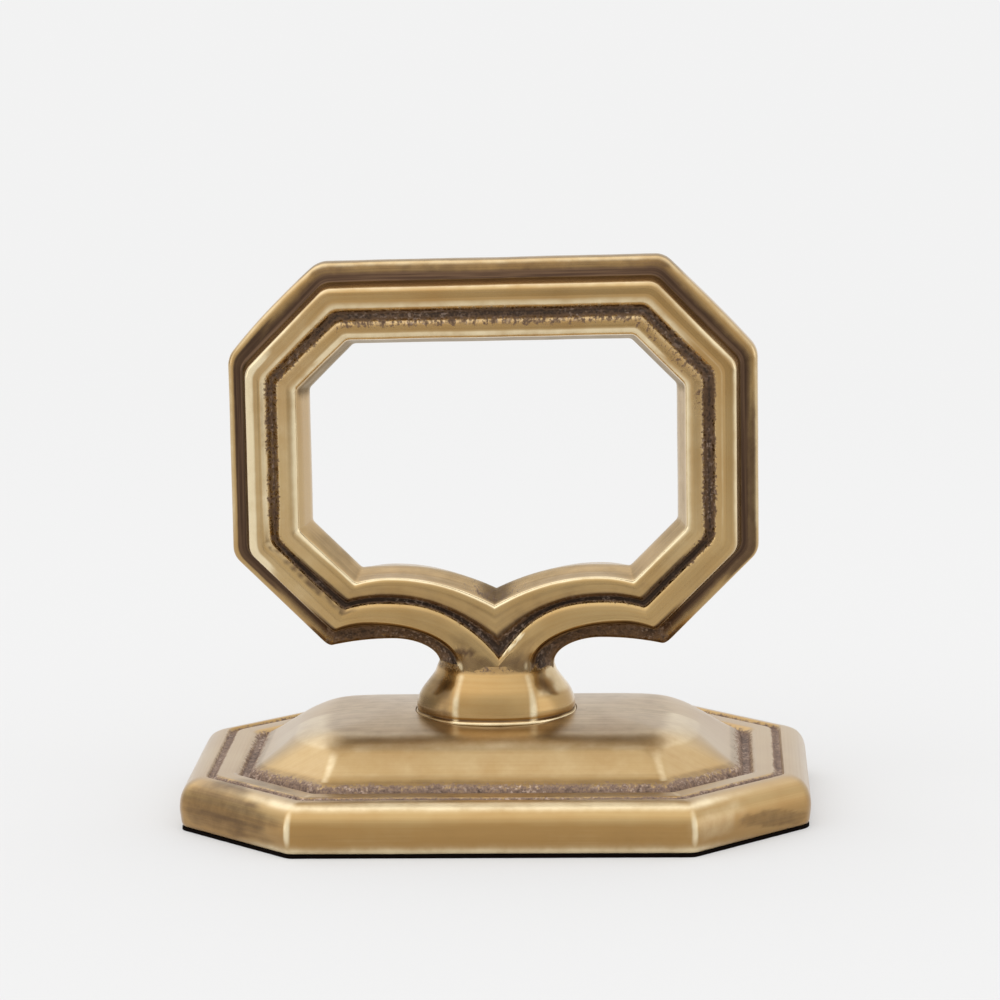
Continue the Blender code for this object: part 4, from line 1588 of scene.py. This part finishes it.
@dataclass
class BaseCasting:
    """The domed eight-sided base with its rounded band and two grooves.

    Attributes:
        foot: the foot that its socket takes.
        half_width, half_depth, corner_cut: the outline.
        corner_stray: how far its front left corner is off to the right.
        band_rounding, band_side_rounding: radii of the band's corners.
        border: band and grooves, in millimetres: distance in from the outline, height, reach of
        the corner's rounding, patina, worn metal with painted highlights on the bottom and top edges, and
        tarnish.
        blots, blot_zone: patches of tarnish, and how far back they reach.
        lighter_patch: a patch made lighter, on the front right corner.
        dome_inset, dome_foot: where the dome starts.
        dome_slopes: pairs of a share of the way in and the dome's slope there.
        dome_steps, dome_spacing, dome_reach: how many loops the dome has, how they crowd at its
            foot, and how far in they go.
        dome_front_rounding, dome_side_rounding: pairs of a share and the corners' radius there.
        dome_cut_rate, dome_least_cut: how the dome's corner cuts shrink.
        dome_patina, dome_painted_light, dome_cloud, dome_ridge: zones by the share of the way in; the light
        zones are painted light on the knee and slope, and the ridge zone painted highlights on the corner
        ridges.
        side_steps, corner_steps, longest_gap: how finely the outline and the section are divided.
        ridge_rub_and_highlight, low_ridge, groove_patina: worn metal and painted highlight on the band's
        corner ridges, where it is greater, and the patina from which there is none.
        far_rub_and_highlight, front_rub_and_highlight: share of the worn metal and painted highlight that
        shows at the sides and back, and what the front adds.
        step_darkening: a darker tone on the step between the grooves, at the front corners, most on the left.
        tint: amber tone of the band's lower part, partly painted shade where the band reflects the shadowed
            floor.
        unevenness, uneven_wave, uneven_seed, clouds, cloud_wave, cloud_seed: slow noise in the
            height and the tarnish.
        pocket_loops, pocket_rounding: pairs of an inset and a height of the hollow underside.
        socket_level, socket_gap, socket_ends: the foot's level, clearance and heights of its socket.
        hole_radius, hole_ends, sharp_angle: the screw's hole and the angle of a sharp edge.
    """

    foot: FlaredFoot
    half_width: float = 35.0 * MM
    half_depth: float = 25.6 * MM
    corner_cut: float = 12.7 * MM
    corner_stray: float = 0.45 * MM
    band_rounding: float = 1.4 * MM
    band_side_rounding: float = 2.2 * MM
    border: tuple[Station, ...] = (
        # painted highlight: the worn-metal values at the bottom edge stand in for the floor's reflection
        (1.2, 0.44, 0.0, 0.6, 0.0, 0.0), (0.34, 0.44, 0.12, 0.0, 0.7, 0.0),
        (0.2, 0.8, 0.1, 0.0, 0.8, 0.0), (0.13, 1.3, 0.3, 0.0, 0.3, 0.05), (0.0, 2.5, 0.45, 0.0, 0.0, 0.2),
        (0.1, 3.5, 0.45, 0.0, 0.0, 0.1), (0.38, 4.38, 0.4, 0.0, 0.0, 0.0),
        # the band's top edge: worn metal with a painted highlight
        (0.85, 5.05, 0.35, 0.0, 0.35, 0.0), (1.35, 5.42, 0.35, 0.0, 0.95, 0.0),
        (2.1, 5.72, 0.35, 0.0, 0.45, 0.0), (2.9, 5.83, 0.12, 0.05, 0.3, 0.0),
        (3.2, 5.35, 0.1, 0.8, 0.0, 0.3), (3.6, 5.35, 0.1, 0.9, 0.0, 0.3), (3.9, 5.6, 0.1, 0.9, 0.0, 0.3),
        (4.1, 5.77, 0.08, 0.4, 0.2, 0.1), (4.3, 5.82, 0.1, 0.0, 0.15, 0.0),
        (5.95, 5.82, 0.2, 0.0, 0.1, 0.0), (6.4, 5.55, 0.2, 0.4, 0.1, 0.1),
        (6.75, 5.12, 0.12, 0.9, 0.0, 0.3), (7.4, 5.12, 0.12, 0.95, 0.0, 0.3),
        (7.8, 5.85, 0.0, 0.75, 0.0, 0.1))
    blots: tuple[Blot, ...] = (
        Blot(-29.0, 2.8, 6.5, 0.55, -0.03, 0.66, 0.3), Blot(-29.5, 2.0, 7.5, 1.5, -0.03, 0.44, 0.5),
        Blot(-30.5, 4.0, 9.0, 3.4, -0.05, 0.55, 0.55),
        Blot(31.0, 2.1, 5.2, 1.2, -0.17, 0.45, 0.7), Blot(25.0, 6.6, 4.5, 0.6, 0.1, 0.5, 0.2))
    blot_zone: Zone = Zone(y=falling(-14.5, -12.0))
    # a patch made lighter on the front right corner
    lighter_patch: Blot = Blot(24.5, 3.4, 5.0, 3.0, 0.0, 0.42, 0.2)
    dome_inset: float = 7.9 * MM
    dome_foot: float = 6.0 * MM
    dome_slopes: tuple[Pair, ...] = (
        (0.0, 0.58), (0.08, 0.64), (0.1, 0.73), (0.24, 0.71), (0.27, 0.52), (0.36, 0.30), (0.44, 0.15),
        (0.61, 0.08), (1.0, 0.0))
    dome_steps: int = 60
    dome_spacing: float = 1.25
    dome_reach: float = 0.88
    dome_front_rounding: tuple[Pair, ...] = ((0.0, 1.6), (0.2, 2.6), (0.35, 8.0), (0.6, 20.0))
    dome_side_rounding: tuple[Pair, ...] = ((0.0, 3.0), (0.2, 7.0), (0.35, 14.0), (0.6, 22.0))
    dome_cut_rate: float = 0.75
    dome_least_cut: float = 1.8 * MM
    dome_patina: tuple[Height, ...] = ((0.6, falling(0.0, 0.05)),)
    # painted light: lightens the dome's knee, which reflects the ring's dark underside, and its slope
    dome_painted_light: tuple[Height, ...] = ((0.5, (0.2, 0.27, 0.4, 0.55)), (0.3, (0.03, 0.08, 0.24, 0.3)))
    dome_cloud: tuple[Height, ...] = ((0.33, rising(0.3, 0.5)), (0.4, falling(0.04, 0.075)))
    # painted highlights on the dome's corner ridges
    dome_ridge: tuple[Height, ...] = ((0.6, falling(0.2, 0.32)),)
    side_steps: tuple[int, int] = (20, 44)
    corner_steps: int = 11
    longest_gap: float = 0.45
    # worn metal with painted highlights on the band's corner ridges
    ridge_rub_and_highlight: float = 0.5
    low_ridge: Span = (1.2, 2.6, 3.4, 5.0)
    groove_patina: float = 0.2
    far_rub_and_highlight: float = 0.25
    # painted highlight: the band's edges brighter at the front than on the chamfers and sides
    front_rub_and_highlight: Zone = Zone(0.75, beside=falling(21.0, 30.0))
    # a darker tone on the step, most at the front left
    step_darkening: tuple[Zone, ...] = (
        Zone(0.08, (4.0, 4.4, 5.9, 6.3), x=rising(18.0, 23.0), y=falling(-14.0, -11.0)),
        Zone(0.45, (4.0, 4.4, 5.9, 6.3), x=falling(-23.0, -18.0), y=falling(-14.0, -11.0)))
    # partly painted shade: amber lower band, which reflects the shadowed floor
    tint: Zone = Zone(0.8, z=falling(3.2, 4.4))
    unevenness: float = 0.025 * MM
    uneven_wave: float = 8.0 * MM
    uneven_seed: float = 2.3
    clouds: float = 0.3
    cloud_wave: float = 12.0 * MM
    cloud_seed: float = 4.4
    pocket_loops: tuple[Pair, ...] = ((6.0, -1.0), (6.0, 0.8), (12.5, 5.5))
    pocket_rounding: float = 2.0 * MM
    socket_level: float = 10.6
    socket_gap: float = 0.03 * MM
    socket_ends: Pair = (9.9, 12.0)
    hole_radius: float = 2.3
    hole_ends: Pair = (12.0, 1.0)
    sharp_angle: float = 60.0

    def cut_at(self, inset: float) -> float:
        """Return the corners' cut of the outline drawn in evenly by an inset."""
        return self.corner_cut - inset * SLANT_LOSS

    def outline(self, inset: float, rounding: float, side_rounding: float,
                cut: float | None = None) -> tuple[list[Pair], list[float]]:
        """Return the outline drawn in by an inset.

        Args:
            inset: distance in from the base's outline.
            rounding: radius of the corners at the front and back.
            side_rounding: radius of the corners at the sides.
            cut: length cut off each corner along the sides, or None for an even inset.

        Returns:
            The points and, for each, 1 on the ridge of a front or back corner, falling to 0.
        """
        w, d = self.half_width - inset, self.half_depth - inset
        cut = self.cut_at(inset) if cut is None else cut
        corners = octagon(w, d, w - cut, d - cut)
        corners[-1] = (corners[-1][0] + self.corner_stray, corners[-1][1])
        reaches = (rounding * MITRE, side_rounding * MITRE)
        return rounded_octagon(corners, reaches, (1.0, 0.0), self.corner_steps, self.side_steps)

    def border_rows(self) -> list[Row]:
        """Lay out the band and grooves.

        Returns:
            Their stations with loops and ridges.
        """
        rows = []
        for station in rounded_section(self.border, self.longest_gap):
            points, ridge = self.outline(station[0] * MM, self.band_rounding, self.band_side_rounding)
            rub_and_highlight = self.edge_rub_and_highlight(station)
            loop = [(x, y, station[1] * MM) for x, y in points]
            rows.append((station, loop, [rub_and_highlight * value for value in ridge]))
        return rows

    def dome_rows(self) -> list[Row]:
        """Lay out the dome.

        Returns:
            Its stations with loops and ridges.
        """
        rows = []
        height, inset, slope = self.dome_foot, 0.0, self.dome_slopes[0][1]
        for step in range(1, self.dome_steps + 1):
            share = self.dome_reach * (step / self.dome_steps) ** self.dome_spacing
            last_inset, last_slope = inset, slope
            inset = (self.half_depth - self.dome_inset) * share
            slope = piecewise(self.dome_slopes, share)
            height += 0.5 * (slope + last_slope) * (inset - last_inset)
            cut = max(self.cut_at(self.dome_inset) - inset * self.dome_cut_rate, self.dome_least_cut)
            rounding = piecewise(self.dome_front_rounding, share) * MM
            side_rounding = piecewise(self.dome_side_rounding, share) * MM
            points, ridge = self.outline(self.dome_inset + inset, rounding, side_rounding, cut)
            tables = (self.dome_patina, self.dome_ridge, self.dome_painted_light, self.dome_cloud)
            patina, fading, rub_and_highlight, cloud = (tallest(table, share) for table in tables)
            station = ((self.dome_inset + inset) / MM, height / MM, 0.0, patina, rub_and_highlight, cloud)
            ridge = [fading * value if patina <= self.groove_patina else 0.0 for value in ridge]
            rows.append((station, [(x, y, height) for x, y in points], ridge))
        return rows

    def edge_rub_and_highlight(self, station: Station) -> float:
        """Return the worn metal and painted highlight on the ridges at the band's corners.

        Args:
            station: a station of the band.

        Returns:
            The worn metal and painted highlight of a ridge, 0 in a groove.
        """
        if station[3] > self.groove_patina:
            return 0.0
        return self.ridge_rub_and_highlight * (1.0 + window(self.low_ridge, station[1]))

    def skin(self) -> Skin:
        """Loft the base's outside.

        Returns:
            Its skin with its traits.
        """
        border, dome = self.border_rows(), self.dome_rows()
        rows = border + dome
        lengths = run_lengths([station[:2] for station, _, _ in rows])
        # One loop, a third of the way in, measures the run along the border for all of them
        along = mirrored_run(rows[len(rows) // 3][1])
        loops = []
        traits: dict[Trait, list[float]] = {trait: [] for trait in Trait}
        for number, (station, loop, ridge) in enumerate(rows):
            offset, _, _, patina, wear_and_highlight, stain_and_shade = station
            loops.append([self.cast(point) for point in loop])
            traits[Trait.PATINA] += [patina] * len(loop)
            traits[Trait.WEAR_AND_HIGHLIGHT] += [max(wear_and_highlight * self.rub_and_highlight_share(point), value, self.lighter_patch.at(point))
                                   for point, value in zip(loop, ridge)]
            traits[Trait.STAIN_AND_SHADE] += [max(stain_and_shade, self.stain_and_shade(point), strongest(self.step_darkening, point, offset))
                                    for point in loop]
            traits[Trait.TINT] += [self.tint.at(point) for point in loop]
            on_dome = number >= len(border)
            traits[Trait.ACROSS] += [point[1] if on_dome else lengths[number] * MM for point in loop]
            traits[Trait.ALONG] += [point[0] for point in loop] if on_dome else along
        return Skin("base", loops, traits)

    def rub_and_highlight_share(self, point: Triple) -> float:
        """Return the share of a station's worn metal and painted highlight that shows at a point: all at the
        front, little elsewhere.
        """
        return self.far_rub_and_highlight + self.front_rub_and_highlight.at(point) * (point[1] < 0.0)

    def cast(self, point: Triple) -> Triple:
        """Return a point moved by the slight unevenness of hand finishing."""
        lift = self.unevenness * ripple(point, self.uneven_wave, self.uneven_seed)
        return point[0], point[1], point[2] + lift

    def stain_and_shade(self, point: Triple) -> float:
        """Return the purple-brown tarnish at a point, in slow patches and set blots."""
        cloudy = self.clouds * ripple(point, self.cloud_wave, self.cloud_seed)
        return max(0.0, cloudy, self.blot_zone.at(point) * blotted(self.blots, point))

    def pocket(self) -> bpy.types.Mesh:
        """Make the hollow of the underside.

        Returns:
            Its mesh, to cut with.
        """
        loops = []
        for inset, height in self.pocket_loops:
            points, _ = self.outline(inset * MM, self.pocket_rounding, self.pocket_rounding)
            loops.append([(x, y, height * MM) for x, y in points])
        return Skin("pocket", loops, {}).mesh()

    def socket(self) -> bpy.types.Mesh:
        """Make the shallow socket that the foot seats in.

        Returns:
            Its mesh, to cut with.
        """
        points, _ = self.foot.loop(self.socket_level, self.socket_gap)
        loops = [[(x, y, end * MM) for x, y, _ in points] for end in self.socket_ends]
        return Skin("socket", loops, {}).mesh()

    def build(self) -> bpy.types.Object:
        """Make the casting.

        Returns:
            The object that stands for the CAD base.
        """
        hole = turned("clearance_hole", self.hole_radius, self.hole_ends)
        steps = [("DIFFERENCE", mesh) for mesh in (self.pocket(), self.socket(), hole)]
        return combined("domed_base", self.skin().mesh(), steps, self.sharp_angle)


@dataclass
class FeltPad:
    """The black felt pad glued under the base.

    Attributes:
        base: the base that it lies under.
        inset: distance in from the base's outline.
        thickness: of the felt.
        shrink: shares of the outline at which the two faces have loops.
        edge_levels: shares of the thickness at which the edge has loops.
        raggedness, ragged_wave, ragged_seed, ragged_from: of the cut edge, as a share of the size.
        softness, soft_wave, soft_seed: of the upper face.
    """

    base: BaseCasting
    inset: float = 0.25 * MM
    thickness: float = 0.4 * MM
    shrink: tuple[float, ...] = (0.997, 0.985, 0.95, 0.88, 0.76, 0.6, 0.42, 0.22)
    edge_levels: tuple[float, ...] = (0.12, 0.35, 0.6, 0.85)
    raggedness: float = 0.0012
    ragged_wave: float = 0.9 * MM
    ragged_seed: float = 6.1
    ragged_from: float = 0.9
    softness: float = 0.02 * MM
    soft_wave: float = 1.6 * MM
    soft_seed: float = 8.2

    def loop(self, share: float, height: float) -> Loop:
        """Return one loop of the pad, with an uneven cut edge and a soft surface.

        Args:
            share: size against the outline.
            height: level in metres.

        Returns:
            The points of the loop.
        """
        points, _ = self.base.outline(self.inset, self.base.band_rounding, self.base.band_side_rounding)
        loop = []
        for x, y in points:
            here = (x, y, height)
            ragged = self.raggedness * ripple(here, self.ragged_wave, self.ragged_seed)
            size = share * (1.0 + ragged * (share > self.ragged_from))
            soft = self.softness * ripple(here, self.soft_wave, self.soft_seed) * (height > 0.0)
            loop.append((x * size, y * size, height + soft))
        return loop

    def build(self) -> bpy.types.Object:
        """Make the pad.

        Returns:
            One closed sheet.
        """
        under = [self.loop(share, 0.0) for share in reversed(self.shrink)]
        edge = [self.loop(1.0, self.thickness * level) for level in self.edge_levels]
        over = [self.loop(share, self.thickness) for share in self.shrink]
        return link("felt_pad_sheet", Skin("felt_pad_sheet", under + edge + over, {}).mesh())

    def flat_size(self) -> Pair:
        """Return the width and depth that the pad was cut to."""
        return 2.0 * (self.base.half_width - self.inset), 2.0 * (self.base.half_depth - self.inset)

    def flat_area(self) -> float:
        """Return the area that the pad was cut to."""
        return math.prod(self.flat_size()) - 2.0 * self.base.cut_at(self.inset) ** 2


# Studio


@dataclass(frozen=True)
class Studio:
    """Pale floor, soft light and the photograph's camera.

    Attributes:
        camera_place: in metres.
        yaw, pitch, roll: in degrees; pitch looks down.
        lens, sensor: in millimetres.
        clip_start: nearest distance that the camera sees.
        backdrop: the plain background.
        floor, dim_floor: the floor, and where it lies in shade.
        half_floor: half of the floor's side.
        tent: colour of the light.
    """

    camera_place: Triple = (0.023481, -0.45, 0.11353)
    yaw: float = -2.91274
    pitch: float = 9.92664
    roll: float = -0.96231
    lens: float = 146.79
    sensor: float = 36.0
    clip_start: float = 0.01
    backdrop: Colour = (0.89, 0.89, 0.89, 1.0)
    floor: Colour = (0.70, 0.70, 0.70, 1.0)
    dim_floor: Colour = (0.30, 0.30, 0.30, 1.0)
    half_floor: float = 1.5
    tent: Colour = (1.0, 1.0, 1.0, 1.0)

    def build_camera(self) -> None:
        """Make the camera at the photograph's viewing angle."""
        yaw, pitch, roll = (math.radians(angle) for angle in (self.yaw, self.pitch, self.roll))
        ahead = Vector((math.sin(yaw) * math.cos(pitch), math.cos(yaw) * math.cos(pitch), -math.sin(pitch)))
        level = Vector((math.cos(yaw), -math.sin(yaw), 0.0))
        above = level.cross(ahead)
        right = math.cos(roll) * level + math.sin(roll) * above
        up = -math.sin(roll) * level + math.cos(roll) * above
        data = bpy.data.cameras.new("photo_camera")
        data.lens = self.lens
        data.sensor_width = self.sensor
        data.clip_start = self.clip_start
        camera = link("photo_camera", data)
        turn = Matrix((right, up, -ahead)).transposed().to_4x4()
        camera.matrix_world = Matrix.Translation(self.camera_place) @ turn
        bpy.context.scene.camera = camera

    def seen_directly(self, sheet: NodeSheet, mirrored_share: bpy.types.NodeSocket) -> bpy.types.NodeSocket:
        """Return 1 for rays that show the plain background.

        Args:
            sheet: the material's or world's sheet.
            mirrored_share: share of the background that metal shows too.

        Returns:
            1 for camera rays and the given share for glossy and transmission rays.
        """
        rays = sheet.add("ShaderNodeLightPath").outputs
        bounced = sheet.math("MAXIMUM", rays["Is Glossy Ray"], rays["Is Transmission Ray"])
        return sheet.math("MAXIMUM", rays["Is Camera Ray"], sheet.product(bounced, mirrored_share))

    def build_floor(self) -> None:
        """Make the pale floor, which fades into the backdrop."""
        mesh = bpy.data.meshes.new("floor")
        h = self.half_floor
        mesh.from_pydata([(-h, -h, 0.0), (h, -h, 0.0), (h, h, 0.0), (-h, h, 0.0)], [], [(0, 1, 2, 3)])
        material, sheet = new_material("pale_floor")
        spot = sheet.parted(sheet.place())
        dim = sheet.product(sheet.step(spot["Y"], low=-0.5, high=-0.08, at_low=1.0, at_high=0.0),
                            sheet.step(spot["X"], low=-0.07, high=0.01))
        lit = sheet.add("ShaderNodeBsdfDiffuse", {"Color": sheet.blend(dim, self.floor, self.dim_floor)})
        plain = sheet.add("ShaderNodeEmission", {"Color": self.backdrop})
        away = sheet.add("ShaderNodeVectorMath", {0: sheet.place()}, operation="LENGTH").outputs["Value"]
        fade = sheet.step(away, low=0.05, high=0.35, at_low=0.35, at_high=1.0)
        seen = sheet.product(fade, self.seen_directly(sheet, sheet.step(spot["Y"], low=0.3, high=0.6)))
        both = sheet.add("ShaderNodeMixShader", {0: seen, 1: lit.outputs[0], 2: plain.outputs[0]})
        sheet.add("ShaderNodeOutputMaterial", {"Surface": both.outputs[0]})
        mesh.materials.append(material)
        link("floor", mesh)

    def build_world(self) -> None:
        """Make the light tent: bright overhead and at the sides, dimmer in front, pale behind."""
        world = bpy.data.worlds.new("light_tent")
        world.use_nodes = True
        bpy.context.scene.world = world
        sheet = NodeSheet(world.node_tree)
        way = sheet.parted(sheet.add("ShaderNodeTexCoord").outputs["Generated"])
        x, y, z = way["X"], way["Y"], way["Z"]
        below = sheet.step(z, low=0.35, high=0.65, at_low=1.0, at_high=0.0)
        before = sheet.step(y, low=-0.1, high=0.1, at_low=1.0, at_high=0.0)
        behind = sheet.step(y, low=-0.1, high=0.1)
        strips = sheet.step(sheet.math("ABSOLUTE", x), low=0.8, high=0.94, at_low=0.0, at_high=0.7)
        shade = sheet.step(x, low=-0.95, high=-0.75, at_low=-0.4, at_high=0.0)
        front = sheet.step(y, low=-0.98, high=-0.85, at_low=-0.12, at_high=0.0)
        top = sheet.step(z, low=0.3, high=0.75, at_low=0.9, at_high=1.45)
        lean = sheet.product(sheet.line(x, gain=-0.3, start=0.0), sheet.step(z, low=0.3, high=0.6))
        level = sheet.total(sheet.product(strips, before, below), sheet.product(shade, behind, below),
                            sheet.product(front, below), top, lean)
        light = sheet.add("ShaderNodeBackground", {"Color": self.tent, "Strength": level})
        plain = sheet.add("ShaderNodeBackground", {"Color": self.backdrop, "Strength": 1.0})
        far_back = sheet.product(sheet.step(y, low=0.55, high=0.7), below)
        seen = self.seen_directly(sheet, far_back)
        both = sheet.add("ShaderNodeMixShader", {0: seen, 1: light.outputs[0], 2: plain.outputs[0]})
        sheet.add("ShaderNodeOutputWorld", {"Surface": both.outputs[0]})

    def build(self) -> None:
        """Make the whole studio."""
        self.build_camera()
        self.build_floor()
        self.build_world()
        bpy.context.scene.view_settings.view_transform = "Standard"


# The whole object


def finish_with(piece: bpy.types.Object, material: bpy.types.Material) -> None:
    """Give a piece its material and report it.

    Args:
        piece: the piece.
        material: its finish.
    """
    piece.data.materials.clear()
    piece.data.materials.append(material)
    LOG.info("%s: %d faces, %s", piece.name, len(piece.data.polygons), material.name)


def dress(piece: bpy.types.Object, material: bpy.types.Material, node: str) -> None:
    """Give a piece its finish and set it in the frame.

    Args:
        piece: the piece.
        material: its finish.
        node: the CAD node that the piece stands for.
    """
    finish_with(piece, material)
    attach(piece, ROOT_BODY)
    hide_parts(node)


def main() -> None:
    """Build the object's pieces and the studio."""
    logging.basicConfig(level=logging.INFO)
    effects = Effects()
    foot = FlaredFoot()
    base = BaseCasting(foot)
    pad = FeltPad(base)
    ring_brass = AgedBrass("aged_brass_ring", edge_tint=(1.0, 0.88, 0.68, 1.0))
    base_brass = AgedBrass(
        "aged_brass_base", roughness=0.36, coat_roughness=0.28, combing=0.2, glinting=0.8, fineness=2600.0,
        brown=(0.27, 0.18, 0.13, 1.0), dark=(0.09, 0.055, 0.04, 1.0))
    dress(RingCasting(foot).build(), ring_brass.material(effects), "ring_frame")
    dress(base.build(), base_brass.material(effects), "base_casting")
    sheet = pad.build()
    dress(sheet, BlackFelt().material(), "felt_pad")
    pad.flat_area()
    steel = PlatedSteel().material(effects)
    for node in ("fixing_screw", "flat_washer"):
        finish_with(frame["nodes"][node], steel)
    Studio().build()


if __name__ == "__main__":
    main()
